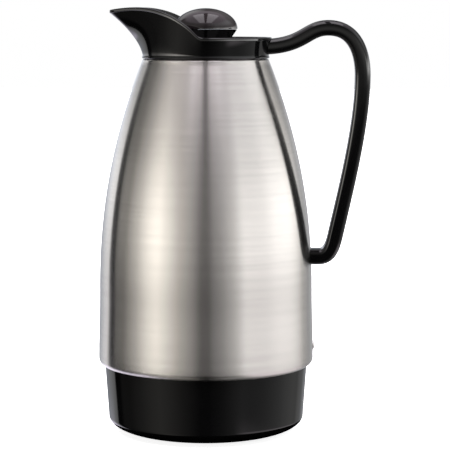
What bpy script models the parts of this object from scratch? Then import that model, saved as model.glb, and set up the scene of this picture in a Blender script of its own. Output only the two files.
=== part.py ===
"""Glass-lined pouring carafe: steel shell, black base, spouted collar, loop handle, screw stopper.

Frame: origin on the body's axis at table level, +Z up, spout towards -X, handle towards +X.
Sizes below are millimetres; meshes are made in metres.
"""
import math

import bmesh
import bpy
from mathutils import Vector
from mathutils.geometry import interpolate_bezier

MM = 0.001

# ---------------------------------------------------------------- driving dimensions
BODY_HEIGHT = 255.0            # table to the top of the steel shell
BODY_RADIUS = 72.8             # steel shell at its straight side
FOOT_FLARE = 0.9               # shell just above its rolled rim, over the straight side
NECK_RADIUS = 43.0             # shell at its top
SHELL_WALL = 0.8
SIDE_TOP = 100.0               # height where the straight side begins to curve in
SIDE_EASE = 0.3                # how much the straight side gives at each end
SHOULDER_ANGLE = 21.4          # slope of the shell at its neck, from vertical
SHOULDER_PULL = 60.0           # how far the neck's slope carries down
SIDE_PULL = 50.0               # how far the straight side carries up
FLARE_TOP = 66.0               # height where the foot begins to flare
RIM_HEIGHT = 46.5              # lower edge of the shell
RIM_RADIUS = 4.3               # roll of the lower edge
RIM_SWEEP = 84.0               # degrees of that roll
FLANGE_WIDTH = 3.0             # ledge turned in at the top of the shell

BASE_DRAFT = 2.45              # base wall's taper from the shell's rim to its corner
BASE_CORNER_WIDTH = 23.0
BASE_CORNER_HEIGHT = 10.1
BASE_WALL = 2.5
BASE_STRAIGHT = 1.5            # straight part of the base wall below the shell's rim
BASE_UPSTAND = 17.5            # part of the base cup inside the shell
THREAD_RING_HEIGHT = 14.0
FOOT_PAD_MARGIN = 5.8          # foot pad's edge inside the flat of the base
FOOT_PAD_THICKNESS = 2.1
FOOT_PAD_PROUD = 0.5

LOCK_SCREW_HEIGHT = 59.0
LOCK_SCREW_HEAD_RADIUS = 3.15
LOCK_SCREW_HEAD_HEIGHT = 1.0
SCREW_SHANK_RADIUS = 1.5
SCREW_POINT = 0.6              # share of the shank's radius left at its point
SCREW_REACH = 1.0              # shank past the wall that it holds
DOME_EDGE = 0.3                # share of a domed head's height that stands straight

GLASS_WALL = 1.6
LINER_GAP = 11.0               # shell's wall to the glass jacket
LINER_RISE = 7.6               # base cup's floor to the underside of the jacket
LINER_CORNER_HEIGHT = 32.0     # height of the rounded bottom
LINER_SHOULDER_DEPTH = 95.0    # top of the liner's straight side below the top of the shell
LINER_NECK_DEPTH = 33.0        # foot of the liner's neck below the top of the shell
LINER_SHOULDER_PULL = 30.0
LINER_NECK_PULL = 24.0
VACUUM_GAP = 4.0
VACUUM_GAP_CORNER = 2.0        # corner of the vessel lower than the jacket's
NECK_VACUUM_GAP = 2.6
MOUTH_DEPTH = 11.6             # glass mouth below the top of the shell
MOUTH_STEP = 0.5               # mouth's bore inside the collar's throat
MOUTH_LIP = 2.0
MOUTH_EDGE = 0.7
TIP_RADIUS = 3.0
TIP_LENGTH = 4.0
TIP_ROUND = 0.6
CUSHION_RADIUS = 34.0
CUSHION_BORE_RADIUS = 9.0
CUSHION_GAP = 1.0              # room under the jacket's faceted bottom
SPACER_SIZE = 8.0
SPACER_HEIGHT = 60.0
SPACER_ROOM = 1.4              # vacuum gap less a spacer's thickness
NECK_GASKET_SKIRT = 7.0
NECK_GASKET_RISE = 2.8         # gasket above the glass mouth
NECK_GASKET_WALL = 2.2

COLLAR_WALL = 2.5
COLLAR_INSET = 0.2             # collar's foot inside the top of the shell
COLLAR_FLARE = 1.5             # wall at the rear rim over its foot
COLLAR_EDGE = 1.0              # height of the collar's foot edge
COLLAR_EDGE_WIDTH = 0.4
COLLAR_GASKET_INSET = 0.8
REAR_RIM_RISE = 14.8           # rear rim above the top of the shell
RIM_FILLET = 7.0               # where the level rim turns up to the spout
SPOUT_RISE = 35.0              # highest rim above the top of the shell
SPOUT_CREST_OUT = 1.7          # that highest rim out from the rear rim's circle
SPOUT_ARC_RADIUS = 57.0        # rim's curve seen from the side
SPOUT_LENGTH = 20.4            # spout tip out from the rear rim's circle
SPOUT_TIP_RADIUS = 4.6
SPOUT_TIP_DROP = 1.8           # tip below the highest rim
SPOUT_FLARE = 1.65             # exponent of the wall's outward curve
LIP_HEIGHT = 2.3
LIP_OVERHANG = 0.6
LIP_CHAMFER = 0.5
BASIN_DEPTH = 11.5             # rear rim to the basin's floor
BASIN_CORNER = 2.0
THROAT_RADIUS = 19.2
THROAT_WALL = 2.2
THROAT_CHAMFER = 1.0
BRIDGE_WALL = 1.4              # ring that joins the throat to the spigot, at the throat
BRIDGE_SLOPE = 0.4
SPIGOT_DEPTH = 9.0             # collar's spigot below the top of the shell
SPIGOT_WALL = 2.2
COLLAR_GASKET_HEIGHT = 1.1
LOCK_RING_HEIGHT = 6.8
BOSS_WALL = 2.0                # round the tongue's pocket
BOSS_OVERLAP = 1.0             # boss inside the collar's wall

HANDLE_THICKNESS = 10.5
HANDLE_WIDTH = 19.4
HANDLE_EDGE_RADIUS = 2.0
HANDLE_BITE = 6.0              # untrimmed ends inside the surfaces they butt against
HANDLE_ROOT_RISE = 8.4         # centre of the root above the top of the shell
HANDLE_CREST_RISE = 21.2       # centre of the crest above the top of the shell
HANDLE_CREST_OUT = 10.3        # crest out from the straight side of the shell
HANDLE_GRIP_OUT = 33.7         # centre of the grip at its outermost
HANDLE_GRIP_DEPTH = 11.0       # that point below the top of the shell
HANDLE_STUB_HEIGHT = 120.5
HANDLE_STUB_OUT = 4.6
HANDLE_ELBOW_OUT = 15.5
HANDLE_ELBOW_RISE = 13.3       # elbow above the stub
HANDLE_ELBOW_LEAN = 12.6       # degrees from vertical
ROOT_PULL = 30.5               # how far each bend carries along the handle
CREST_PULL = 15.7
GRIP_PULL = 19.0
STRAIGHT_PULL = 33.5
ELBOW_PULL = 9.6
STUB_PULL = 5.6
TONGUE_WIDTH = 12.0
TONGUE_HEIGHT = 5.8
TONGUE_LENGTH = 5.2
TONGUE_ROOT = 6.0              # tongue's length inside the handle
HANDLE_SCREW_HEAD_RADIUS = 3.5
HANDLE_SCREW_HEAD_HEIGHT = 2.4
HANDLE_SCREW_DEPTH = 9.0
WASHER_RADIUS = 7.0
WASHER_THICKNESS = 1.2

KNOB_OVERHANG = 2.4            # knob's edge over the throat's bore
KNOB_DOME_HEIGHT = 14.0
KNOB_EDGE = 0.4
KNOB_EDGE_RISE = 20.4          # knob's widest edge above the top of the shell
SKIRT_HEIGHT = 10.0
SHANK_STEP = 3.9               # thread band over the stopper's shank
STOPPER_WALL = 3.0
STOPPER_TOP_WALL = 4.0
STOPPER_EDGE = 0.6
THREAD_RECESS = 1.0            # thread band below the basin's floor
THREAD_TRAVEL = 9.0            # rise of the stopper from shut to free
THREAD_HEIGHT = 7.8
SEAL_RING_HEIGHT = 4.9
SEAL_EDGE = 1.0
LIP_SEAL_HEIGHT = 2.9
LIP_SEAL_EDGE = 0.8
CAP_HEIGHT = 2.4
CAP_NECK_WALL = 1.5
CAP_PLUG_HEIGHT = 3.0
CAP_EDGE = 0.8
STOPPER_FLANGE_HEIGHT = 2.8
STOPPER_PLAY = 0.7             # radial play of the stopper in the throat

GAP = 0.3                      # between pieces that touch
FIT = 0.4                      # radial clearance of round fits
COLLAR_GAP = 0.5               # shell's top to the collar's foot
CLEAR_HOLE = 0.6               # screw holes over the screw's radius
CUT_MARGIN = 8.0               # how far a cutter passes the walls that it cuts

LARGE = 40                     # facets of large round pieces
MEDIUM = 32
SMALL = 24
TINY = 16

# ---------------------------------------------------------------- derived sizes and levels
FOOT_RADIUS = BODY_RADIUS + FOOT_FLARE
RIM_OPENING = FOOT_RADIUS - RIM_RADIUS * (1 - math.cos(math.radians(RIM_SWEEP)))
BASE_RADIUS = RIM_OPENING - FIT
BASE_CORNER_RADIUS = BASE_RADIUS - BASE_DRAFT
BASE_FLAT_RADIUS = BASE_CORNER_RADIUS - BASE_CORNER_WIDTH
FOOT_PAD_RADIUS = BASE_FLAT_RADIUS - FOOT_PAD_MARGIN
PAD_RECESS_Z = FOOT_PAD_THICKNESS + GAP
BASE_FLOOR_Z = PAD_RECESS_Z + BASE_WALL
LINER_RADIUS = BODY_RADIUS - SHELL_WALL - LINER_GAP
LINER_BOTTOM = BASE_FLOOR_Z + LINER_RISE
VESSEL_RADIUS = LINER_RADIUS - GLASS_WALL - VACUUM_GAP
MOUTH_Z = BODY_HEIGHT - MOUTH_DEPTH
MOUTH_BORE_RADIUS = THROAT_RADIUS - MOUTH_STEP
LINER_NECK_RADIUS = MOUTH_BORE_RADIUS + 2 * GLASS_WALL + NECK_VACUUM_GAP
NECK_GASKET_TOP = MOUTH_Z + NECK_GASKET_RISE
COLLAR_Z = BODY_HEIGHT + COLLAR_GAP
COLLAR_UNDER_Z = COLLAR_Z + COLLAR_GASKET_HEIGHT
COLLAR_BASE_RADIUS = NECK_RADIUS - COLLAR_INSET
COLLAR_RIM_RADIUS = COLLAR_BASE_RADIUS + COLLAR_FLARE
SPOUT_CREST = COLLAR_RIM_RADIUS + SPOUT_CREST_OUT
SPOUT_REACH = COLLAR_RIM_RADIUS + SPOUT_LENGTH
REAR_RIM_Z = BODY_HEIGHT + REAR_RIM_RISE
CREST_Z = BODY_HEIGHT + SPOUT_RISE
FLOOR_Z = REAR_RIM_Z - BASIN_DEPTH
FLANGE_RADIUS = NECK_RADIUS - FLANGE_WIDTH
SPIGOT_RADIUS = FLANGE_RADIUS - FIT
HANDLE_ROOT_Z = BODY_HEIGHT + HANDLE_ROOT_RISE
TONGUE_TIP = COLLAR_BASE_RADIUS + GAP - TONGUE_LENGTH
THREAD_RADIUS = THROAT_RADIUS - STOPPER_PLAY
SHANK_RADIUS = THREAD_RADIUS - SHANK_STEP
KNOB_RADIUS = THROAT_RADIUS + KNOB_OVERHANG
KNOB_EDGE_Z = BODY_HEIGHT + KNOB_EDGE_RISE
SCREW_HOLE = SCREW_SHANK_RADIUS + CLEAR_HOLE


# ---------------------------------------------------------------- materials
MATERIALS = {
    "brushed_steel": ((0.62, 0.60, 0.58), 0.32, 1.0),
    "black_gloss": ((0.012, 0.012, 0.014), 0.12, 0.0),
    "bright_screw": ((0.70, 0.70, 0.70), 0.18, 1.0),
    "silvered_glass": ((0.75, 0.76, 0.78), 0.08, 0.9),
    "black_rubber": ((0.02, 0.02, 0.02), 0.75, 0.0),
    "silicone": ((0.75, 0.74, 0.70), 0.5, 0.0),
    "inner_plastic": ((0.05, 0.05, 0.055), 0.45, 0.0),
    "foam": ((0.82, 0.80, 0.74), 0.9, 0.0),
}


def material_for(node, kind):
    """A Principled material of its own for each node."""
    colour, roughness, metallic = MATERIALS[kind]
    material = bpy.data.materials.new(f"{node}_{kind}")
    material.use_nodes = True
    shader = material.node_tree.nodes["Principled BSDF"]
    shader.inputs["Base Color"].default_value = (*colour, 1.0)
    shader.inputs["Roughness"].default_value = roughness
    shader.inputs["Metallic"].default_value = metallic
    return material


# ---------------------------------------------------------------- mesh helpers
def clear_scene():
    for item in list(bpy.data.objects):
        bpy.data.objects.remove(item, do_unlink=True)


def add_object(name, mesh_builder, kind=None, crease_degrees=35):
    """Turn a bmesh in millimetres into an object in metres, shaded smooth between creases."""
    bmesh.ops.remove_doubles(mesh_builder, verts=mesh_builder.verts, dist=1e-4)
    bmesh.ops.dissolve_degenerate(mesh_builder, edges=mesh_builder.edges, dist=1e-4)
    bmesh.ops.recalc_face_normals(mesh_builder, faces=mesh_builder.faces)
    bmesh.ops.scale(mesh_builder, verts=mesh_builder.verts, vec=(MM, MM, MM))
    mesh = bpy.data.meshes.new(name)
    mesh_builder.to_mesh(mesh)
    mesh_builder.free()
    mesh.shade_smooth()
    mesh.set_sharp_from_angle(angle=math.radians(crease_degrees))
    item = bpy.data.objects.new(name, mesh)
    bpy.context.scene.collection.objects.link(item)
    if kind:
        mesh.materials.append(material_for(name, kind))
    return item


def turned(name, outline, kind=None, facets=LARGE, ring=True):
    """Turn an outline of (radius, height) points about Z; ring=False closes it on the axis."""
    work = bmesh.new()
    points = [work.verts.new((radius, 0.0, height)) for radius, height in outline]
    pairs = list(zip(points, points[1:]))
    if ring:
        pairs.append((points[-1], points[0]))
    edges = [work.edges.new(pair) for pair in pairs]
    bmesh.ops.spin(work, geom=points + edges, cent=(0, 0, 0), axis=(0, 0, 1),
                   angle=2 * math.pi, steps=facets, use_merge=True)
    return add_object(name, work, kind)


def box(name, size, centre, kind=None):
    work = bmesh.new()
    bmesh.ops.create_cube(work, size=1.0)
    bmesh.ops.scale(work, verts=work.verts, vec=size)
    bmesh.ops.translate(work, verts=work.verts, vec=centre)
    return add_object(name, work, kind)


def point_along_x(item, x, z, outwards=True):
    """Lay a piece that was turned about Z along the X axis, at the given reach and height."""
    item.rotation_euler = (0.0, math.radians(90 if outwards else -90), 0.0)
    item.location = (x * MM, 0.0, z * MM)
    return item


def boolean(target, tool, operation="DIFFERENCE"):
    """Cut or join with a tool object, which stays in the file as a wire guide."""
    modifier = target.modifiers.new(f"{operation.lower()}_{tool.name}", "BOOLEAN")
    modifier.operation = operation
    modifier.object = tool
    modifier.solver = "EXACT"
    tool.hide_render = True
    tool.display_type = "WIRE"


def bore_along_x(name, target, radius, x_from, x_to, z):
    """A round hole along X through one piece."""
    outline = [(0, 0), (radius, 0), (radius, x_to - x_from), (0, x_to - x_from)]
    tool = turned(name, outline, facets=TINY, ring=False)
    point_along_x(tool, x_from, z)
    boolean(target, tool)


def arc(centre, radii, start, end, steps):
    """Points on an ellipse about centre, from start to end degrees, both included."""
    points = []
    for index in range(steps + 1):
        angle = math.radians(start + (end - start) * index / steps)
        points.append((centre[0] + radii[0] * math.cos(angle),
                       centre[1] + radii[1] * math.sin(angle)))
    return points


def bezier(start, start_handle, end_handle, end, steps):
    """Points on one cubic span, both ends included."""
    knots = [Vector((point[0], point[1], 0.0)) for point in (start, start_handle, end_handle, end)]
    return [(point.x, point.y) for point in interpolate_bezier(*knots, steps + 1)]


def inset(outline, wall):
    """The line that lies a wall's thickness to the right of an outline as it is drawn."""
    moved = []
    for index, point in enumerate(outline):
        before = outline[max(index - 1, 0)]
        after = outline[min(index + 1, len(outline) - 1)]
        run = Vector((after[0] - before[0], after[1] - before[1])).normalized()
        moved.append((point[0] + run.y * wall, point[1] - run.x * wall))
    return moved


# ---------------------------------------------------------------- shell and base
def shell_side(offset=0.0):
    """The shell's outer line from the neck down to the rolled rim, moved out by an offset."""
    angle = math.radians(SHOULDER_ANGLE)
    neck = (NECK_RADIUS, BODY_HEIGHT - SHELL_WALL)
    neck_handle = (NECK_RADIUS + SHOULDER_PULL * math.sin(angle),
                   neck[1] - SHOULDER_PULL * math.cos(angle))
    side = (BODY_RADIUS, SIDE_TOP)
    side_handle = (BODY_RADIUS - SIDE_EASE, SIDE_TOP + SIDE_PULL)
    line = bezier(neck, neck_handle, side_handle, side, 8)
    line.append((BODY_RADIUS + SIDE_EASE, FLARE_TOP))
    line += arc((FOOT_RADIUS - RIM_RADIUS, RIM_HEIGHT + RIM_RADIUS),
                (RIM_RADIUS, RIM_RADIUS), 0, -RIM_SWEEP, 3)
    return inset(line, -offset) if offset else line


def shell_radius(height):
    """Outer radius of the shell at a height."""
    line = shell_side()
    for upper, lower in zip(line, line[1:]):
        if lower[1] <= height <= upper[1]:
            share = (height - lower[1]) / (upper[1] - lower[1])
            return lower[0] + share * (upper[0] - lower[0])
    return NECK_RADIUS


def build_outer_shell():
    outer = shell_side()
    inner = inset(outer, SHELL_WALL)
    outline = [(FLANGE_RADIUS, BODY_HEIGHT), (NECK_RADIUS - SHELL_WALL, BODY_HEIGHT)]
    outline += outer
    outline += reversed(inner[1:])
    outline += [(inner[0][0] - GAP, BODY_HEIGHT - SHELL_WALL), (FLANGE_RADIUS, BODY_HEIGHT - SHELL_WALL)]
    shell = turned("outer_shell", outline, "brushed_steel")
    for name, height in (("cut_shell_lock", LOCK_SCREW_HEIGHT), ("cut_shell_handle", HANDLE_STUB_HEIGHT)):
        radius = shell_radius(height)
        bore_along_x(name, shell, SCREW_HOLE, radius - CUT_MARGIN, radius + CUT_MARGIN, height)


def build_base_cup():
    top = RIM_HEIGHT + BASE_UPSTAND
    corner_z = FOOT_PAD_PROUD + BASE_CORNER_HEIGHT
    straight_z = RIM_HEIGHT - BASE_STRAIGHT
    inner_corner_z = corner_z + BASE_WALL
    recess = FOOT_PAD_RADIUS + FIT
    outline = [(0, PAD_RECESS_Z), (recess, PAD_RECESS_Z), (recess, FOOT_PAD_PROUD)]
    outline += arc((BASE_FLAT_RADIUS, corner_z), (BASE_CORNER_WIDTH, BASE_CORNER_HEIGHT), -90, 0, 5)
    outline += [(BASE_RADIUS, straight_z), (BASE_RADIUS, top), (BASE_RADIUS - BASE_WALL, top),
                (BASE_RADIUS - BASE_WALL, straight_z)]
    outline += arc((BASE_FLAT_RADIUS, inner_corner_z),
                   (BASE_CORNER_WIDTH - BASE_WALL, inner_corner_z - BASE_FLOOR_Z), 0, -90, 3)
    outline += [(0, BASE_FLOOR_Z)]
    cup = turned("base_cup", outline, "black_gloss", ring=False)
    bore_along_x("cut_base_lock", cup, SCREW_HOLE, BASE_RADIUS - CUT_MARGIN, BASE_RADIUS + CUT_MARGIN,
                 LOCK_SCREW_HEIGHT)


def build_foot_pad():
    turned("foot_pad", [(0, 0), (FOOT_PAD_RADIUS - FOOT_PAD_PROUD, 0), (FOOT_PAD_RADIUS, FOOT_PAD_PROUD),
                        (FOOT_PAD_RADIUS, FOOT_PAD_THICKNESS), (0, FOOT_PAD_THICKNESS)],
           "black_rubber", ring=False)


def build_base_thread_ring():
    low = RIM_HEIGHT + RIM_RADIUS + FIT
    inner = RIM_OPENING
    outer = BODY_RADIUS - SHELL_WALL - FIT
    high = low + THREAD_RING_HEIGHT
    ring = turned("base_thread_ring", [(inner, low), (outer, low), (outer, high), (inner, high)],
                  "inner_plastic")
    bore_along_x("cut_ring_lock", ring, SCREW_HOLE, inner - CUT_MARGIN, outer + CUT_MARGIN,
                 LOCK_SCREW_HEIGHT)


def screw(name, kind, head_radius, head_height, shank_length, domed):
    """A screw along +Z: the head's seat at height 0, head above, shank below."""
    outline = [(0, -shank_length), (SCREW_SHANK_RADIUS * SCREW_POINT, -shank_length),
               (SCREW_SHANK_RADIUS, -shank_length + SCREW_SHANK_RADIUS),
               (SCREW_SHANK_RADIUS, 0), (head_radius, 0)]
    if domed:
        edge = head_height * DOME_EDGE
        outline += arc((0, edge), (head_radius, head_height - edge), 0, 90, 4)
    else:
        outline += [(head_radius, head_height), (0, head_height)]
    return turned(name, outline, kind, facets=TINY, ring=False)


def build_base_lock_screw():
    seat = shell_radius(LOCK_SCREW_HEIGHT) + GAP
    item = screw("base_lock_screw", "bright_screw", LOCK_SCREW_HEAD_RADIUS, LOCK_SCREW_HEAD_HEIGHT,
                 seat - (BASE_RADIUS - BASE_WALL) + SCREW_REACH, domed=True)
    point_along_x(item, seat, LOCK_SCREW_HEIGHT)


# ---------------------------------------------------------------- glass liner
def liner_line(radius, bottom, corner_height, neck_radius, top):
    """Outer line of one glass wall, from the axis at the bottom up to the neck's top."""
    side_top = BODY_HEIGHT - LINER_SHOULDER_DEPTH
    neck_foot = BODY_HEIGHT - LINER_NECK_DEPTH
    line = arc((0, bottom + corner_height), (radius, corner_height), -90, 0, 5)
    line += bezier((radius, side_top), (radius, side_top + LINER_SHOULDER_PULL),
                   (neck_radius, neck_foot - LINER_NECK_PULL), (neck_radius, neck_foot), 5)
    line.append((neck_radius, top))
    return line


def glass_inner_line(line):
    """The line a glass wall's thickness inside an outer line, from the axis up."""
    inner = inset(line, -GLASS_WALL)
    inner[0] = (0, line[0][1] + GLASS_WALL)
    inner[-1] = (line[-1][0] - GLASS_WALL, line[-1][1])
    return inner


def build_liner():
    rim_z = MOUTH_Z - MOUTH_LIP
    jacket = liner_line(LINER_RADIUS, LINER_BOTTOM, LINER_CORNER_HEIGHT, LINER_NECK_RADIUS, rim_z - FIT)
    # the sealed tip points down from the middle of the jacket
    tip_z = LINER_BOTTOM - TIP_LENGTH
    tip = [(0, tip_z), (TIP_RADIUS / 2, tip_z + TIP_ROUND), (TIP_RADIUS, LINER_BOTTOM - TIP_ROUND)]
    turned("liner_outer", tip + jacket[1:] + list(reversed(glass_inner_line(jacket))), "silvered_glass",
           facets=SMALL, ring=False)

    vessel = liner_line(VESSEL_RADIUS, LINER_BOTTOM + GLASS_WALL + VACUUM_GAP,
                        LINER_CORNER_HEIGHT - VACUUM_GAP_CORNER, MOUTH_BORE_RADIUS + GLASS_WALL, rim_z)
    edge_z = MOUTH_Z - MOUTH_EDGE
    rim = [(LINER_NECK_RADIUS, rim_z), (LINER_NECK_RADIUS, edge_z), (LINER_NECK_RADIUS - MOUTH_EDGE, MOUTH_Z),
           (MOUTH_BORE_RADIUS + MOUTH_EDGE, MOUTH_Z), (MOUTH_BORE_RADIUS, edge_z)]
    turned("liner_inner", vessel + rim + list(reversed(glass_inner_line(vessel))), "silvered_glass",
           facets=SMALL, ring=False)


def build_liner_spacers():
    thickness = VACUUM_GAP - SPACER_ROOM
    reach = VESSEL_RADIUS + FIT + thickness / 2
    for number in range(3):
        pad = box(f"liner_spacer_{number + 1}", (thickness, SPACER_SIZE, SPACER_SIZE), (0, 0, 0), "foam")
        angle = math.radians(90 + 120 * number)
        pad.location = (reach * math.cos(angle) * MM, reach * math.sin(angle) * MM, SPACER_HEIGHT * MM)
        pad.rotation_euler = (0, 0, angle)


def build_liner_cushion():
    """A rubber cup whose hollow follows the jacket's rounded bottom."""
    low = BASE_FLOOR_Z + GAP
    centre_z = LINER_BOTTOM + LINER_CORNER_HEIGHT
    seat = []
    for share in (0.0, 0.34, 0.68, 1.0):
        radius = CUSHION_RADIUS + (CUSHION_BORE_RADIUS - CUSHION_RADIUS) * share
        drop = LINER_CORNER_HEIGHT * math.sqrt(1 - (radius / LINER_RADIUS) ** 2)
        seat.append((radius, centre_z - drop - CUSHION_GAP))
    outline = [(CUSHION_BORE_RADIUS, low), (CUSHION_RADIUS, low)] + seat
    turned("liner_cushion", outline, "black_rubber", facets=SMALL)


def build_neck_gasket():
    inner = MOUTH_BORE_RADIUS + FIT
    skirt = LINER_NECK_RADIUS + FIT
    outer = skirt + NECK_GASKET_WALL
    low = MOUTH_Z - NECK_GASKET_SKIRT
    seat = MOUTH_Z + GAP
    turned("neck_gasket", [(inner, seat), (skirt, seat), (skirt, low), (outer, low),
                           (outer, NECK_GASKET_TOP), (inner, NECK_GASKET_TOP)], "silicone", facets=SMALL)


# ---------------------------------------------------------------- collar
def rim_plan(azimuth, grow=0.0):
    """Plan radius of the rim at an azimuth from +X: a circle drawn out to a rounded spout tip."""
    circle = COLLAR_RIM_RADIUS + grow
    tip = SPOUT_TIP_RADIUS + grow
    centre = SPOUT_REACH - SPOUT_TIP_RADIUS
    tangent = math.asin((circle - tip) / centre)        # half angle of the spout in plan
    turn_off = math.pi / 2 + tangent                    # azimuth where the rim leaves the circle
    away = math.pi - abs(azimuth)
    contact = math.atan2(tip * math.cos(tangent), centre + tip * math.sin(tangent))
    if abs(azimuth) <= turn_off:
        return circle
    if away >= contact:
        return circle / math.cos(abs(azimuth) - turn_off)
    return centre * math.cos(away) + math.sqrt(tip ** 2 - (centre * math.sin(away)) ** 2)


def rim_height(x):
    """Height of the rim at a distance along X: level behind, then an arc up to the spout."""
    if x <= -SPOUT_CREST:
        share = (-SPOUT_CREST - x) / (SPOUT_REACH - SPOUT_CREST)
        return CREST_Z - SPOUT_TIP_DROP * share ** 2
    rise = CREST_Z - REAR_RIM_Z
    run = math.sqrt(2 * SPOUT_ARC_RADIUS * rise - rise ** 2)
    angle = math.atan(run / (SPOUT_ARC_RADIUS - rise))   # slope where the arc meets the level rim
    fillet_end = run - SPOUT_CREST + RIM_FILLET * math.tan(angle / 2)
    if x >= fillet_end:
        return REAR_RIM_Z
    bend = fillet_end - x
    if bend < RIM_FILLET * math.sin(angle):
        return REAR_RIM_Z + RIM_FILLET - math.sqrt(RIM_FILLET ** 2 - bend ** 2)
    return CREST_Z - SPOUT_ARC_RADIUS + math.sqrt(SPOUT_ARC_RADIUS ** 2 - (x + SPOUT_CREST) ** 2)


def collar_section(azimuth):
    """Closed (radius, height) outline of the collar at one azimuth."""
    rim = rim_plan(azimuth)
    top = rim_height(rim * math.cos(azimuth))
    wall_low = COLLAR_Z + COLLAR_EDGE
    wall_high = top - LIP_HEIGHT
    spigot_low = BODY_HEIGHT - SPIGOT_DEPTH
    gasket_edge = COLLAR_BASE_RADIUS - COLLAR_GASKET_INSET
    section = [(SPIGOT_RADIUS, spigot_low), (SPIGOT_RADIUS, COLLAR_UNDER_Z), (gasket_edge, COLLAR_UNDER_Z),
               (gasket_edge, COLLAR_Z), (COLLAR_BASE_RADIUS - COLLAR_EDGE_WIDTH, COLLAR_Z)]
    for share in (0.0, 0.25, 0.5, 0.75, 1.0):
        radius = COLLAR_BASE_RADIUS + (rim - COLLAR_BASE_RADIUS) * share ** SPOUT_FLARE
        section.append((radius, wall_low + (wall_high - wall_low) * share))
    lip = rim_plan(azimuth, LIP_OVERHANG)
    inside = rim_plan(azimuth, -COLLAR_WALL)
    section += [(lip, wall_high + LIP_CHAMFER), (lip, top - LIP_CHAMFER), (lip - LIP_CHAMFER, top),
                (inside + LIP_CHAMFER, top)]
    floor_edge = COLLAR_BASE_RADIUS - COLLAR_WALL
    low = FLOOR_Z + BASIN_CORNER
    for share in (1.0, 0.75, 0.5, 0.25, 0.0):
        radius = floor_edge + (inside - floor_edge) * share ** SPOUT_FLARE
        section.append((radius, low + (top - LIP_CHAMFER - low) * share))
    throat_low = NECK_GASKET_TOP + GAP
    bridge_low = COLLAR_UNDER_Z - BRIDGE_WALL
    section += [(floor_edge - BASIN_CORNER, FLOOR_Z), (THROAT_RADIUS + THROAT_CHAMFER, FLOOR_Z),
                (THROAT_RADIUS, FLOOR_Z - THROAT_CHAMFER), (THROAT_RADIUS, throat_low),
                (THROAT_RADIUS + THROAT_WALL, throat_low), (THROAT_RADIUS + THROAT_WALL, bridge_low),
                (SPIGOT_RADIUS - SPIGOT_WALL, bridge_low + BRIDGE_SLOPE),
                (SPIGOT_RADIUS - SPIGOT_WALL, spigot_low)]
    return section


def collar_azimuths():
    """Even steps round the back, closing up towards the narrow spout tip."""
    half = [math.radians(10 * step) for step in range(14)]
    half += [math.radians(angle) for angle in (138, 146, 154, 161, 167, 172, 176.6, 178.4, 180)]
    return half + [-angle for angle in reversed(half[1:-1])]


def build_collar():
    work = bmesh.new()
    rings = []
    for azimuth in collar_azimuths():
        ring = [work.verts.new((radius * math.cos(azimuth), radius * math.sin(azimuth), height))
                for radius, height in collar_section(azimuth)]
        rings.append(ring)
    for ring, following in zip(rings, rings[1:] + rings[:1]):
        for index in range(len(ring)):
            after = (index + 1) % len(ring)
            work.faces.new((ring[index], ring[after], following[after], following[index]))
    collar = add_object("collar", work, "black_gloss")
    # a boss behind the rear wall takes the handle's tongue
    reach = COLLAR_BASE_RADIUS - BOSS_OVERLAP
    boss_length = reach - TONGUE_TIP + BOSS_WALL
    boss = box("add_collar_boss", (boss_length, TONGUE_WIDTH + 2 * BOSS_WALL, TONGUE_HEIGHT + 2 * BOSS_WALL),
               (reach - boss_length / 2, 0, HANDLE_ROOT_Z))
    boolean(collar, boss, "UNION")
    pocket_length = TONGUE_LENGTH + CUT_MARGIN / 2
    pocket = box("cut_collar_pocket",
                 (pocket_length, TONGUE_WIDTH + 2 * GAP, TONGUE_HEIGHT + 2 * GAP),
                 (TONGUE_TIP - GAP + pocket_length / 2, 0, HANDLE_ROOT_Z))
    boolean(collar, pocket)


def build_collar_gasket():
    inner = SPIGOT_RADIUS + FIT
    outer = COLLAR_BASE_RADIUS - COLLAR_GASKET_INSET - FIT
    low = BODY_HEIGHT + GAP
    turned("collar_gasket", [(inner, low), (outer, low), (outer, low + COLLAR_GASKET_HEIGHT - GAP),
                             (inner, low + COLLAR_GASKET_HEIGHT - GAP)], "black_rubber", facets=MEDIUM)


def build_collar_lock_ring():
    inner = SPIGOT_RADIUS + FIT
    high = BODY_HEIGHT - SHELL_WALL - FIT
    low = high - LOCK_RING_HEIGHT
    narrow = NECK_RADIUS - SHELL_WALL - 2 * FIT           # under the shell's ledge
    wide = shell_radius(low) - SHELL_WALL - 2 * FIT
    turned("collar_lock_ring", [(inner, low), (wide, low), (narrow, high), (inner, high)],
           "inner_plastic", facets=LARGE)


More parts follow.
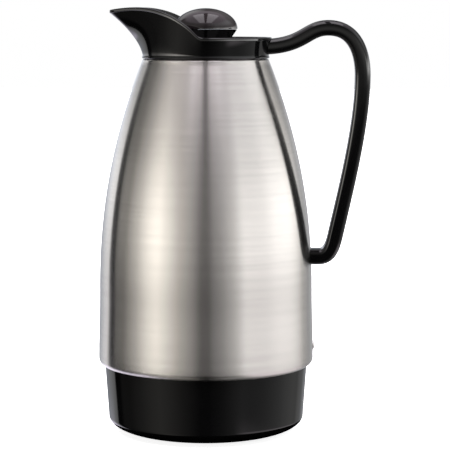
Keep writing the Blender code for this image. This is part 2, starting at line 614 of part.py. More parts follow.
# ---------------------------------------------------------------- handle
def handle_centreline():
    """Points along the middle of the handle, in the XZ plane, from the collar to the shell."""
    lean = math.radians(HANDLE_ELBOW_LEAN)
    along = Vector((math.sin(lean), math.cos(lean)))      # up the straight grip
    side = shell_radius(HANDLE_STUB_HEIGHT)
    root = Vector((COLLAR_BASE_RADIUS - HANDLE_BITE, HANDLE_ROOT_Z))
    crest = Vector((BODY_RADIUS + HANDLE_CREST_OUT, BODY_HEIGHT + HANDLE_CREST_RISE))
    grip = Vector((BODY_RADIUS + HANDLE_GRIP_OUT, BODY_HEIGHT - HANDLE_GRIP_DEPTH))
    elbow = Vector((BODY_RADIUS + HANDLE_ELBOW_OUT, HANDLE_STUB_HEIGHT + HANDLE_ELBOW_RISE))
    stub = Vector((BODY_RADIUS + HANDLE_STUB_OUT, HANDLE_STUB_HEIGHT))
    end = Vector((side - HANDLE_BITE, HANDLE_STUB_HEIGHT))
    level = Vector((1, 0))
    upright = Vector((0, 1))
    spans = [
        (root, root + level * ROOT_PULL, crest - level * CREST_PULL, crest, 9),
        (crest, crest + level * CREST_PULL, grip + upright * GRIP_PULL, grip, 8),
        (grip, grip - upright * STRAIGHT_PULL, elbow + along * STRAIGHT_PULL, elbow, 8),
        (elbow, elbow - along * ELBOW_PULL, stub + level * STUB_PULL, stub, 5),
        (stub, stub - level, end + level, end, 2),
    ]
    line = []
    for start, start_handle, end_handle, finish, steps in spans:
        line += bezier(start, start_handle, end_handle, finish, steps)[1 if line else 0:]
    return line


def handle_profile():
    """Rounded rectangle across the grip: (across thickness, along width)."""
    half_thickness = HANDLE_THICKNESS / 2 - HANDLE_EDGE_RADIUS
    half_width = HANDLE_WIDTH / 2 - HANDLE_EDGE_RADIUS
    profile = []
    for sign_t, sign_w, start in ((1, 1, 0), (-1, 1, 90), (-1, -1, 180), (1, -1, 270)):
        profile += arc((sign_t * half_thickness, sign_w * half_width),
                       (HANDLE_EDGE_RADIUS, HANDLE_EDGE_RADIUS), start, start + 90, 2)
    return profile


def build_handle():
    line = handle_centreline()
    profile = handle_profile()
    work = bmesh.new()
    rings = []
    for index, point in enumerate(line):
        before = line[max(index - 1, 0)]
        after = line[min(index + 1, len(line) - 1)]
        run = Vector((after[0] - before[0], after[1] - before[1])).normalized()
        ring = [work.verts.new((point[0] - run.y * across, along, point[1] + run.x * across))
                for across, along in profile]
        rings.append(ring)
    for ring, following in zip(rings, rings[1:]):
        for index in range(len(ring)):
            after = (index + 1) % len(ring)
            work.faces.new((ring[index], ring[after], following[after], following[index]))
    work.faces.new(rings[0])
    work.faces.new(rings[-1])
    handle = add_object("handle", work, "black_gloss")
    # both ends are cut to the body they butt against
    body = [(0, RIM_HEIGHT), (RIM_OPENING, RIM_HEIGHT)]
    body += list(reversed(shell_side(FIT)))[2:]
    body += [(COLLAR_BASE_RADIUS + FIT, BODY_HEIGHT + GAP)]
    top = REAR_RIM_Z - LIP_HEIGHT
    for share in (0.25, 0.5, 0.75, 1.0):
        radius = COLLAR_BASE_RADIUS + (COLLAR_RIM_RADIUS - COLLAR_BASE_RADIUS) * share ** SPOUT_FLARE
        body.append((radius + FIT, COLLAR_Z + (top - COLLAR_Z) * share))
    lip = COLLAR_RIM_RADIUS + LIP_OVERHANG + FIT
    body += [(lip, top), (lip, REAR_RIM_Z + CUT_MARGIN), (0, REAR_RIM_Z + CUT_MARGIN)]
    boolean(handle, turned("cut_handle_body", body, facets=LARGE, ring=False))
    length = TONGUE_LENGTH + TONGUE_ROOT
    tongue = box("add_handle_tongue", (length, TONGUE_WIDTH, TONGUE_HEIGHT),
                 (TONGUE_TIP + length / 2, 0, HANDLE_ROOT_Z))
    boolean(handle, tongue, "UNION")
    side = shell_radius(HANDLE_STUB_HEIGHT)
    bore_along_x("cut_handle_screw", handle, SCREW_HOLE, side - CUT_MARGIN,
                 side + HANDLE_SCREW_DEPTH + SCREW_REACH, HANDLE_STUB_HEIGHT)


def build_handle_fixing():
    inner = shell_radius(HANDLE_STUB_HEIGHT) - SHELL_WALL
    sag = inner - math.sqrt(inner ** 2 - WASHER_RADIUS ** 2)
    washer_face = inner - sag - 2 * GAP
    hole = SCREW_SHANK_RADIUS + FIT
    washer = turned("handle_washer", [(hole, -WASHER_THICKNESS), (WASHER_RADIUS, -WASHER_THICKNESS),
                                      (WASHER_RADIUS, 0), (hole, 0)], "bright_screw", facets=SMALL)
    point_along_x(washer, washer_face, HANDLE_STUB_HEIGHT)
    seat = washer_face - WASHER_THICKNESS - GAP
    length = shell_radius(HANDLE_STUB_HEIGHT) + HANDLE_SCREW_DEPTH - seat
    item = screw("handle_screw", "bright_screw", HANDLE_SCREW_HEAD_RADIUS, HANDLE_SCREW_HEAD_HEIGHT, length,
                 domed=False)
    point_along_x(item, seat, HANDLE_STUB_HEIGHT, outwards=False)


# ---------------------------------------------------------------- stopper
def stopper_levels():
    """Heights of the stopper's steps above the table, from the thread down."""
    thread_top = FLOOR_Z - THREAD_RECESS
    thread_low = thread_top - THREAD_HEIGHT
    groove_low = thread_low - SEAL_RING_HEIGHT - THREAD_TRAVEL - 2 * GAP
    flange_low = groove_low - STOPPER_FLANGE_HEIGHT
    return thread_top, thread_low, groove_low, flange_low


def parent_to(item, empty):
    """Hang a piece on an empty without moving it."""
    item.parent = empty
    item.matrix_parent_inverse = empty.matrix_world.inverted()


def build_stopper():
    thread_top, thread_low, groove_low, flange_low = stopper_levels()
    below = MOUTH_BORE_RADIUS - STOPPER_PLAY - GAP        # pieces inside the glass neck
    hollow = SHANK_RADIUS - STOPPER_WALL
    hollow_top = KNOB_EDGE_Z - STOPPER_TOP_WALL
    body = turned("stopper_body", [
        (0, hollow_top), (hollow, hollow_top), (hollow, flange_low), (below, flange_low),
        (below, groove_low), (SHANK_RADIUS, groove_low), (SHANK_RADIUS, thread_low),
        (THREAD_RADIUS - STOPPER_EDGE, thread_low), (THREAD_RADIUS, thread_low + STOPPER_EDGE),
        (THREAD_RADIUS, thread_top - STOPPER_EDGE), (THREAD_RADIUS - STOPPER_EDGE, thread_top),
        (SHANK_RADIUS, thread_top), (SHANK_RADIUS, KNOB_EDGE_Z - SKIRT_HEIGHT),
        (KNOB_RADIUS - KNOB_EDGE, KNOB_EDGE_Z - GAP), (0, KNOB_EDGE_Z - GAP)],
        "black_gloss", facets=MEDIUM, ring=False)

    knob = turned("knob_cap", [(0, KNOB_EDGE_Z), (KNOB_RADIUS - KNOB_EDGE, KNOB_EDGE_Z)]
                  + arc((0, KNOB_EDGE_Z + KNOB_EDGE), (KNOB_RADIUS, KNOB_DOME_HEIGHT - KNOB_EDGE), 0, 90, 7),
                  "black_gloss", facets=MEDIUM, ring=False)

    seal_high = flange_low - GAP
    seal_low = seal_high - LIP_SEAL_HEIGHT
    neck = hollow + CAP_NECK_WALL
    cap_high = seal_low - GAP
    cap_low = cap_high - CAP_HEIGHT
    plug = hollow - FIT
    plug_high = flange_low + CAP_PLUG_HEIGHT
    cap = turned("stopper_bottom_cap", [
        (0, cap_low), (below - CAP_EDGE, cap_low), (below, cap_low + CAP_EDGE), (below, cap_high),
        (neck, cap_high), (neck, seal_high), (plug, seal_high), (plug, plug_high), (0, plug_high)],
        "black_gloss", facets=MEDIUM, ring=False)

    core = turned("stopper_core", [(0, plug_high + GAP), (plug, plug_high + GAP),
                                   (plug, hollow_top - GAP), (0, hollow_top - GAP)],
                  "foam", facets=MEDIUM, ring=False)

    seal_radius = MOUTH_BORE_RADIUS - FIT
    lip_edge = seal_radius - LIP_SEAL_EDGE
    lip_seal = turned("stopper_lip_seal", [
        (neck + FIT, seal_low), (lip_edge, seal_low), (seal_radius, seal_low + LIP_SEAL_EDGE),
        (seal_radius, seal_high - LIP_SEAL_EDGE), (lip_edge, seal_high), (neck + FIT, seal_high)],
        "silicone", facets=MEDIUM)

    ring_high = thread_low - GAP
    ring_low = ring_high - SEAL_RING_HEIGHT
    ring_edge = seal_radius - SEAL_EDGE
    ring_bore = SHANK_RADIUS + FIT
    seal_ring = turned("stopper_gasket", [
        (ring_bore, ring_low), (ring_edge, ring_low), (seal_radius, ring_low + SEAL_EDGE),
        (seal_radius, ring_high - SEAL_EDGE), (ring_edge, ring_high), (ring_bore, ring_high)],
        "silicone", facets=MEDIUM)

    axis = bpy.data.objects.new("stopper_axis", None)
    axis.location = (0.0, 0.0, thread_top * MM)
    bpy.context.scene.collection.objects.link(axis)
    bpy.context.view_layer.update()
    for item in (body, knob, cap, core, lip_seal, seal_ring):
        parent_to(item, axis)


def main():
    clear_scene()
    build_outer_shell()
    build_base_cup()
    build_foot_pad()
    build_base_thread_ring()
    build_base_lock_screw()
    build_liner_cushion()
    build_liner()
    build_liner_spacers()
    build_neck_gasket()
    build_collar()
    build_collar_gasket()
    build_collar_lock_ring()
    build_handle()
    build_handle_fixing()
    build_stopper()


main()
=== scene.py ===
"""Looks of the insulated pouring carafe: fine surfaces, materials, studio and camera."""
import math

import bmesh
import bpy
from mathutils import Matrix, Vector
from mathutils.geometry import interpolate_bezier


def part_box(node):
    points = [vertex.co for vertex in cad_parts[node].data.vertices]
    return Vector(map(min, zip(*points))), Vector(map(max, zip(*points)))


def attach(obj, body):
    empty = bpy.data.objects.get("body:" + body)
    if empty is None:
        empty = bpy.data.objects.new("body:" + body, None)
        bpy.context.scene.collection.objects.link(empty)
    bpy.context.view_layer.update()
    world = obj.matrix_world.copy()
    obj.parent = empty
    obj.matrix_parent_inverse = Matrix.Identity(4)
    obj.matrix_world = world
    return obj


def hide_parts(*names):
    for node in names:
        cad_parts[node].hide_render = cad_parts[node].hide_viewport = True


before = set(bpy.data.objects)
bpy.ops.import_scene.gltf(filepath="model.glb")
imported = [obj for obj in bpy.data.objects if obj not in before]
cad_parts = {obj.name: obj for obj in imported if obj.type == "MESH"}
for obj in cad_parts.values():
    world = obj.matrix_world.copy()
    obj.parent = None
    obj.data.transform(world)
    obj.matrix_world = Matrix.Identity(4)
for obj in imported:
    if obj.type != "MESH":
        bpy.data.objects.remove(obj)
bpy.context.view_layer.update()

MM = 0.001

# ---------------------------------------------------------------- levels read from the frame (mm)
shell_low, shell_high = (Vector(corner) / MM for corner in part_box("outer_shell"))
base_low, base_high = (Vector(corner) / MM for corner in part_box("base_cup"))
collar_low, collar_high = (Vector(corner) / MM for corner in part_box("collar"))
handle_low, handle_high = (Vector(corner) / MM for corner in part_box("handle"))
knob_low, knob_high = (Vector(corner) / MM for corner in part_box("knob_cap"))
plug_low, plug_high = (Vector(corner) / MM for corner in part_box("stopper_body"))
screw_low, screw_high = (Vector(corner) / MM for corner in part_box("base_lock_screw"))

BODY_HEIGHT = shell_high.z
FOOT_RADIUS = shell_high.y
RIM_HEIGHT = shell_low.z
BASE_RADIUS = base_high.y
BASE_TOP = base_high.z
CREST_Z = collar_high.z
SPOUT_REACH = -collar_low.x
HANDLE_WIDTH = handle_high.y - handle_low.y
KNOB_RADIUS = knob_high.y

# ---------------------------------------------------------------- sizes of the fine surfaces (mm)
BODY_RADIUS = 72.8
NECK_RADIUS = 43.0
SHELL_WALL = 0.8
SHOULDER_ANGLE = 21.4
SHOULDER_PULL = 60.0           # a pull is the length of a curve's handle
SIDE_TOP = 100.0
SIDE_PULL = 50.0
SIDE_LEAN = 0.3
FLARE_TOP = 66.0
FLARE_PULL = 20.0
RIM_RADIUS = 4.3
RIM_SWEEP = 84.0               # degrees that the shell's foot rolls in
FLANGE_WIDTH = 3.0
FLANGE_BEND = 0.3

BASE_FLAT_RADIUS = 44.0
BASE_CORNER_WIDTH = 23.0
BASE_CORNER_HEIGHT = 10.1
BASE_WALL = 2.5
BASE_SIDE_DROP = 1.5           # the upright side starts this far below the shell's foot
BASE_EDGE = 0.6
BASE_INNER_EDGE = 0.4
FOOT_PAD_RADIUS = 38.2
FOOT_PAD_GAP = 0.4
FOOT_PAD_RECESS = 1.9

SCREW_HEAD = 1.0
SCREW_SIDE = 0.3               # upright part of the head
SCREW_SOCKET_RADIUS = 1.1
SCREW_SOCKET_DEPTH = 0.7
SCREW_SOCKET_EDGE = 0.07
SCREW_DOME_START = 69.0        # degrees up the dome, where the socket opens
SCREW_SHANK_RADIUS = 1.5
SCREW_POINT_RADIUS = 0.9
SCREW_POINT_LENGTH = 1.5

COLLAR_WALL = 2.5
COLLAR_BASE_RADIUS = 42.8
COLLAR_RIM_RADIUS = 44.3
COLLAR_STEP = 0.8              # the foot steps in over its gasket
FOOT_FILLET = (0.9, 1.1)       # across and up
FOOT_BEAD = 0.45               # how far the collar's foot turns out
FOOT_BEAD_HEIGHT = 1.8
REAR_RIM_RISE = 14.8
SPOUT_CREST = 46.0
SPOUT_ARC_RADIUS = 57.0
SPOUT_TIP_RADIUS = 4.6
SPOUT_TIP_DROP = 1.8
SPOUT_FLARE = 1.65
RIM_FILLET = 7.0
LIP_HEIGHT = 2.3
LIP_OVERHANG = 0.6
LIP_FILLET = 0.9
LIP_INNER_FILLET = 0.8
LIP_CORNER = (0.25, 0.08)      # the lip's lower corner: in from its face, and up from the wall
LIP_FACE_RISE = 0.35
BASIN_DEPTH = 11.5
BASIN_FILLET = 2.2
BASIN_FALL = 0.4               # the floor drops this far on its way to the throat
BASIN_UNDERSIDE = (1.4, 1.0)   # below the collar's seat, at the throat and at the spigot
THROAT_RADIUS = 19.2
THROAT_WALL = 2.2
THROAT_FILLET = 1.6
THROAT_CHAMFER = 0.3
THROAT_FOOT_RISE = 14.3        # above the stopper's lower end
SPIGOT_DEPTH = 9.0
SPIGOT_WALL = 2.2
SPIGOT_GAP = 0.4
SPIGOT_CHAMFER = 0.4
COLLAR_GAP = 0.5
GASKET_HEIGHT = 1.1
BOSS_DEPTH = 5.2               # the boss inside the wall, behind the handle's root
BOSS_HALF_WIDTH = 8.0
BOSS_SIDE_BLEND = 2.5
BOSS_TOP_DROP = 1.6
BOSS_TOP_BLEND = 2.2

HANDLE_THICKNESS = 10.5
HANDLE_INNER_EDGE = (2.5, 2.5)  # edge radii on the body's side: across the thickness and the width
HANDLE_OUTER_EDGE = (3.0, 7.0)  # the same on the outer side
HANDLE_ROOT_RISE = 8.4
HANDLE_CREST_RISE = 21.2
HANDLE_CREST_REACH = 83.1
HANDLE_REACH = 106.5
HANDLE_REACH_DEPTH = 11.0
HANDLE_STUB_HEIGHT = 120.5
HANDLE_ELBOW_REACH = 88.3
HANDLE_ELBOW_HEIGHT = 133.8
HANDLE_ELBOW_LEAN = 12.6
HANDLE_STUB_REACH = 77.4
HANDLE_SINK = 6.0              # both ends start this far inside the collar and the shell
ROOT_PULL = 30.5
CREST_PULL = 15.7
GRIP_PULL = 19.0
STRAIGHT_PULL = 33.5
ELBOW_PULL = 9.6
STUB_PULL = 5.6
JOINT_GAP = 0.12
TRIM_RISE = 9.0                # the cutter goes on this far above the lip

KNOB_EDGE = (0.3, 0.2)         # chamfer under the dome: in and up
SKIRT_INSET = (0.8, 0.4)       # from the knob's edge, above and below the skirt's top chamfer
SKIRT_CHAMFER = 0.3
SKIRT_FOOT = (0.6, 8.9)        # out from the shank, and above the thread
SHANK_RADIUS = 14.6
SHANK_TOP = 7.4                # above the thread
SHANK_FILLET = 0.4
STOPPER_WALL = 3.0
STOPPER_TOP_WALL = 4.0
THREAD_RADIUS = 18.5
THREAD_HEIGHT = 7.8
THREAD_DROP = 1.0              # below the basin's floor
THREAD_PITCH = 6.0
THREAD_DEPTH = 0.9
THREAD_CREST = 2.6             # breadth of the ridge, against the steepness of its sides
THREAD_STEEPNESS = 8.0
THREAD_FADE = 0.8              # height over which the thread starts and ends
SEAL_FLANGE_RADIUS = 17.7
SEAL_FLANGE_HEIGHT = 2.8
SEAL_FLANGE_EDGES = (0.5, 0.4)  # its upper and lower chamfers

ROUND = 256                    # facets of large turned surfaces
CREASE = 32                    # degrees between faces from which an edge stays sharp
THREAD_CREASE = 38
MERGE_DISTANCE = 1e-4


# ---------------------------------------------------------------- curves
def arc(centre, radii, start, end, steps):
    """Points on an ellipse about centre, from start to end degrees."""
    points = []
    for index in range(steps + 1):
        angle = math.radians(start + (end - start) * index / steps)
        points.append((centre[0] + radii[0] * math.cos(angle),
                       centre[1] + radii[1] * math.sin(angle)))
    return points


def bezier(start, start_handle, end_handle, end, steps):
    """Points on one cubic span, both ends included."""
    knots = [Vector((point[0], point[1], 0.0)) for point in (start, start_handle, end_handle, end)]
    return [(point.x, point.y) for point in interpolate_bezier(*knots, steps + 1)]


def inset(outline, wall):
    """The line a wall's thickness to the right of an outline as it is drawn."""
    moved = []
    for index, point in enumerate(outline):
        before = outline[max(index - 1, 0)]
        after = outline[min(index + 1, len(outline) - 1)]
        run = Vector((after[0] - before[0], after[1] - before[1])).normalized()
        moved.append((point[0] + run.y * wall, point[1] - run.x * wall))
    return moved


# ---------------------------------------------------------------- meshes
def finish_piece(name, work, body, replaced=(), crease=CREASE):
    """Turn a bmesh in millimetres into a smooth piece that rides on a body."""
    bmesh.ops.remove_doubles(work, verts=work.verts, dist=MERGE_DISTANCE)
    bmesh.ops.dissolve_degenerate(work, edges=work.edges, dist=MERGE_DISTANCE)
    bmesh.ops.recalc_face_normals(work, faces=work.faces)
    bmesh.ops.scale(work, verts=work.verts, vec=(MM, MM, MM))
    mesh = bpy.data.meshes.new(name)
    work.to_mesh(mesh)
    work.free()
    mesh.shade_smooth()
    mesh.set_sharp_from_angle(angle=math.radians(crease))
    piece = bpy.data.objects.new(name, mesh)
    bpy.context.scene.collection.objects.link(piece)
    if body:
        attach(piece, body)
        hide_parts(*replaced)
    return piece


def around(outline, azimuth):
    """Stand an outline of (radius, height) points up at an azimuth from +X."""
    return [(radius * math.cos(azimuth), radius * math.sin(azimuth), height)
            for radius, height in outline]


def ring_grid(work, rings, close_around=True, close_along=True):
    """Faces between neighbouring rings of points; both ways round close unless told otherwise."""
    made = [[work.verts.new(point) for point in ring] for ring in rings]
    pairs = list(zip(made, made[1:]))
    if close_along:
        pairs.append((made[-1], made[0]))
    for ring, following in pairs:
        count = len(ring)
        for index in range(count if close_around else count - 1):
            after = (index + 1) % count
            corners = (ring[index], ring[after], following[after], following[index])
            work.faces.new(corners)
    return made


def turned(name, outline, body, replaced=(), facets=ROUND, ring=True):
    """Turn (radius, height) points about Z; ring=False is for an outline that ends on the axis."""
    work = bmesh.new()
    points = [work.verts.new((point[0], 0.0, point[1])) for point in outline]
    pairs = list(zip(points, points[1:]))
    if ring:
        pairs.append((points[-1], points[0]))
    edges = [work.edges.new(pair) for pair in pairs]
    bmesh.ops.spin(work, geom=points + edges, cent=(0, 0, 0), axis=(0, 0, 1),
                   angle=2 * math.pi, steps=facets, use_merge=True)
    return finish_piece(name, work, body, replaced)


# ---------------------------------------------------------------- material nodes
NOISE_LOW = 0.3                # nearly all of a noise lies between these two values
NOISE_HIGH = 0.7


class Nodes:
    """A short way to build a procedural material."""

    def __init__(self, name):
        self.material = bpy.data.materials.new(name)
        self.material.use_nodes = True
        self.tree = self.material.node_tree
        self.shader = self.tree.nodes["Principled BSDF"]

    def add(self, kind, **values):
        """A new node with some of its properties set."""
        node = self.tree.nodes.new(kind)
        for key, value in values.items():
            setattr(node, key, value)
        return node

    def link(self, source, target):
        self.tree.links.new(source, target)

    def noise(self, scale, detail=3.0, roughness=0.55):
        """Noise over object coordinates, with its own scale on each axis (per metre)."""
        place = self.add("ShaderNodeTexCoord")
        mapping = self.add("ShaderNodeMapping")
        mapping.inputs["Scale"].default_value = scale
        texture = self.add("ShaderNodeTexNoise")
        texture.inputs["Scale"].default_value = 1.0
        texture.inputs["Detail"].default_value = detail
        texture.inputs["Roughness"].default_value = roughness
        self.link(place.outputs["Object"], mapping.inputs["Vector"])
        self.link(mapping.outputs["Vector"], texture.inputs["Vector"])
        return texture.outputs["Fac"]

    def spread(self, noise, low, high):
        """Map a noise onto the shader's roughness, from low to high."""
        node = self.add("ShaderNodeMapRange")
        node.inputs["From Min"].default_value = NOISE_LOW
        node.inputs["From Max"].default_value = NOISE_HIGH
        node.inputs["To Min"].default_value = low
        node.inputs["To Max"].default_value = high
        self.link(noise, node.inputs["Value"])
        self.link(node.outputs["Result"], self.shader.inputs["Roughness"])

    def tint(self, noise, dark, light):
        """Colour the shader from dark to light by a noise."""
        ramp = self.add("ShaderNodeValToRGB")
        for element, position, colour in zip(ramp.color_ramp.elements, (NOISE_LOW, NOISE_HIGH),
                                             (dark, light)):
            element.position = position
            element.color = (*colour, 1.0)
        self.link(noise, ramp.inputs["Fac"])
        self.link(ramp.outputs["Color"], self.shader.inputs["Base Color"])

    def bump(self, noise, depth, under=None):
        """Raise the surface by a noise, to a depth in millimetres, over an earlier bump."""
        node = self.add("ShaderNodeBump")
        node.inputs["Distance"].default_value = depth * MM
        self.link(noise, node.inputs["Height"])
        if under is not None:
            self.link(under, node.inputs["Normal"])
        self.link(node.outputs["Normal"], self.shader.inputs["Normal"])
        return node.outputs["Normal"]

    def set(self, **values):
        """Uniform values go on the shader's own sockets."""
        for key, value in values.items():
            self.shader.inputs[key.replace("_", " ")].default_value = value


def brushed_steel():
    """Satin steel whose brush lines run round the body, so reflections smear upright."""
    make = Nodes("brushed_steel_fine")
    make.set(Metallic=1.0, Anisotropic=1.0, Anisotropic_Rotation=0.25)
    fine = make.noise((18.0, 18.0, 5200.0), detail=2.0)
    broad = make.noise((7.0, 7.0, 700.0), detail=4.0, roughness=0.7)
    make.tint(broad, dark=(0.607, 0.584, 0.561), light=(0.667, 0.645, 0.619))
    make.spread(fine, low=0.225, high=0.26)
    under = make.bump(broad, depth=0.0008)
    make.bump(fine, depth=0.0022, under=under)
    tangent = make.add("ShaderNodeTangent", direction_type="RADIAL", axis="Z")
    make.link(tangent.outputs["Tangent"], make.shader.inputs["Tangent"])
    return make.material


def black_gloss(name="black_gloss_fine", colour=0.0022, polish=0.05, warm=1.0):
    """Polished black moulding with faint sink marks and hairline rub marks."""
    make = Nodes(name)
    make.set(Metallic=0.0, IOR=1.5)
    cloud = make.noise((60.0, 60.0, 60.0), detail=2.0)
    grain = make.noise((900.0, 900.0, 900.0), detail=3.0)
    light = colour * 1.35
    make.tint(cloud, dark=(colour * warm, colour, colour * 1.08),
              light=(light * warm, light, light * 1.1))
    make.spread(grain, low=polish, high=polish + 0.035)
    under = make.bump(cloud, depth=0.02)
    make.bump(grain, depth=0.0006, under=under)
    return make.material


def bright_metal():
    """Plated steel of the screws, slightly satin."""
    make = Nodes("bright_screw_fine")
    make.set(Metallic=1.0)
    grain = make.noise((1500.0, 1500.0, 1500.0))
    make.tint(grain, dark=(0.86, 0.85, 0.84), light=(0.94, 0.93, 0.92))
    make.spread(grain, low=0.28, high=0.36)
    make.bump(grain, depth=0.003)
    return make.material


def silvered_glass():
    """The mirror coating of the glass liner, with its slow waves."""
    make = Nodes("liner_glass_fine")
    make.set(Metallic=0.92, IOR=1.5)
    cloud = make.noise((70.0, 70.0, 45.0), detail=3.0)
    make.tint(cloud, dark=(0.70, 0.71, 0.74), light=(0.82, 0.83, 0.85))
    make.spread(cloud, low=0.03, high=0.09)
    make.bump(cloud, depth=0.1)
    return make.material


def soft_material(name, dark, light, roughness, grain_size, depth):
    """Rubber, silicone, foam and matte mouldings; grain size and depth are in millimetres."""
    make = Nodes(name)
    scale = 1.0 / (grain_size * MM)
    grain = make.noise((scale, scale, scale), detail=4.0)
    make.tint(grain, dark, light)
    make.spread(grain, low=roughness - 0.06, high=roughness + 0.06)
    make.bump(grain, depth)
    return make.material


# ---------------------------------------------------------------- shell and base
def shell_side(offset=0.0, steps=48):
    """The shell's outer line from the neck down to the rolled rim, moved out by an offset."""
    angle = math.radians(SHOULDER_ANGLE)
    neck = (NECK_RADIUS, BODY_HEIGHT - SHELL_WALL)
    neck_handle = (NECK_RADIUS + SHOULDER_PULL * math.sin(angle),
                   neck[1] - SHOULDER_PULL * math.cos(angle))
    side_handle = (BODY_RADIUS - SIDE_LEAN, SIDE_TOP + SIDE_PULL)
    line = bezier(neck, neck_handle, side_handle, (BODY_RADIUS, SIDE_TOP), steps)
    rim_centre = (FOOT_RADIUS - RIM_RADIUS, RIM_HEIGHT + RIM_RADIUS)
    line += bezier((BODY_RADIUS, SIDE_TOP), (BODY_RADIUS, SIDE_TOP - FLARE_PULL),
                   (FOOT_RADIUS, FLARE_TOP), (FOOT_RADIUS, rim_centre[1]), steps // 4)[1:]
    line += arc(rim_centre, (RIM_RADIUS, RIM_RADIUS), 0, -RIM_SWEEP, steps // 4)[1:]
    return inset(line, -offset) if offset else line


def build_shell(material):
    """Sheet steel from the neck's flange down to the rolled foot, with its inside."""
    outer = shell_side()
    inner = inset(outer, SHELL_WALL)
    flange = NECK_RADIUS - FLANGE_WIDTH
    under = BODY_HEIGHT - SHELL_WALL
    corner = arc((NECK_RADIUS - SHELL_WALL, under), (SHELL_WALL, SHELL_WALL), 90, 0, 6)
    outline = [(flange, BODY_HEIGHT)] + corner[:-1] + outer + list(reversed(inner[1:]))
    outline += [(inner[0][0] - FLANGE_BEND, under), (flange, under)]
    piece = turned("shell_brushed", outline, "carafe", ("outer_shell",))
    piece.data.materials.append(material)


def build_base(material):
    """Black cup with a rounded foot, an upright side inside the shell, and a recess for its pad."""
    corner_z = base_low.z + BASE_CORNER_HEIGHT
    recess_z = base_low.z + FOOT_PAD_RECESS
    recess = FOOT_PAD_RADIUS + FOOT_PAD_GAP
    floor_z = recess_z + BASE_WALL
    side_z = RIM_HEIGHT - BASE_SIDE_DROP
    inner = BASE_RADIUS - BASE_WALL
    inner_corner = (BASE_CORNER_WIDTH - BASE_WALL, corner_z + BASE_WALL - floor_z)
    outline = [(0, recess_z), (recess, recess_z), (recess, base_low.z + BASE_INNER_EDGE),
               (recess + BASE_INNER_EDGE, base_low.z)]
    outline += arc((BASE_FLAT_RADIUS, corner_z), (BASE_CORNER_WIDTH, BASE_CORNER_HEIGHT),
                   -90, 0, 24)
    outline += [(BASE_RADIUS, side_z), (BASE_RADIUS, BASE_TOP - BASE_EDGE),
                (BASE_RADIUS - BASE_EDGE, BASE_TOP), (inner + BASE_INNER_EDGE, BASE_TOP),
                (inner, BASE_TOP - BASE_INNER_EDGE), (inner, side_z)]
    outline += arc((BASE_FLAT_RADIUS, corner_z + BASE_WALL), inner_corner, 0, -90, 12)
    outline += [(0, floor_z)]
    piece = turned("base_moulding", outline, "carafe", ("base_cup",), ring=False)
    piece.data.materials.append(material)


def build_lock_screw(material):
    """Low domed head with a round socket, and its shank."""
    seat = screw_high.x - SCREW_HEAD
    tip = screw_low.x - seat
    radius = (screw_high.y - screw_low.y) / 2
    socket_z = SCREW_HEAD - SCREW_SOCKET_DEPTH
    outline = [(0, socket_z), (SCREW_SOCKET_RADIUS, socket_z),
               (SCREW_SOCKET_RADIUS, SCREW_HEAD - SCREW_SOCKET_EDGE)]
    outline += arc((0, SCREW_SIDE), (radius, SCREW_HEAD - SCREW_SIDE), SCREW_DOME_START, 0, 10)
    outline += [(radius, 0), (SCREW_SHANK_RADIUS, 0),
                (SCREW_SHANK_RADIUS, tip + SCREW_POINT_LENGTH), (SCREW_POINT_RADIUS, tip), (0, tip)]
    piece = turned("lock_screw_domed", outline, "carafe", ("base_lock_screw",),
                   facets=48, ring=False)
    piece.data.transform(axis_to_x(seat, (screw_high.z + screw_low.z) / 2))
    piece.data.materials.append(material)


def axis_to_x(x, z):
    """Matrix that lays a piece turned about Z along +X, at a reach and a height."""
    return Matrix.Translation((x * MM, 0, z * MM)) @ Matrix.Rotation(math.pi / 2, 4, "Y")


# ---------------------------------------------------------------- collar
def rim_plan(azimuth, grow=0.0):
    """Plan radius of the rim at an azimuth from +X: a circle drawn out to a rounded spout tip."""
    circle = COLLAR_RIM_RADIUS + grow
    tip = SPOUT_TIP_RADIUS + grow
    centre = SPOUT_REACH - LIP_OVERHANG - SPOUT_TIP_RADIUS
    tangent = math.asin((circle - tip) / centre)
    turn_off = math.pi / 2 + tangent
    away = math.pi - abs(azimuth)
    contact = math.atan2(tip * math.cos(tangent), centre + tip * math.sin(tangent))
    if abs(azimuth) <= turn_off:
        return circle
    if away >= contact:
        return circle / math.cos(abs(azimuth) - turn_off)
    return centre * math.cos(away) + math.sqrt(tip ** 2 - (centre * math.sin(away)) ** 2)


def rim_height(x):
    """Height of the rim at a distance along X: level behind, then an arc up to the spout."""
    level = BODY_HEIGHT + REAR_RIM_RISE
    if x <= -SPOUT_CREST:
        share = (-SPOUT_CREST - x) / (SPOUT_REACH - SPOUT_CREST)
        return CREST_Z - SPOUT_TIP_DROP * share ** 2
    rise = CREST_Z - level
    run = math.sqrt(2 * SPOUT_ARC_RADIUS * rise - rise ** 2)
    angle = math.atan(run / (SPOUT_ARC_RADIUS - rise))
    foot = -SPOUT_CREST + run
    reach = RIM_FILLET * math.tan(angle / 2)
    if x >= foot + reach:
        return level
    bend = foot + reach - x
    if bend < RIM_FILLET * math.sin(angle):
        return level + RIM_FILLET - math.sqrt(RIM_FILLET ** 2 - bend ** 2)
    return CREST_Z - SPOUT_ARC_RADIUS + math.sqrt(SPOUT_ARC_RADIUS ** 2 - (x + SPOUT_CREST) ** 2)


def smooth_step(value):
    """A smooth rise from 0 to 1 as a value goes from 0 to 1."""
    value = min(max(value, 0.0), 1.0)
    return value * value * (3 - 2 * value)


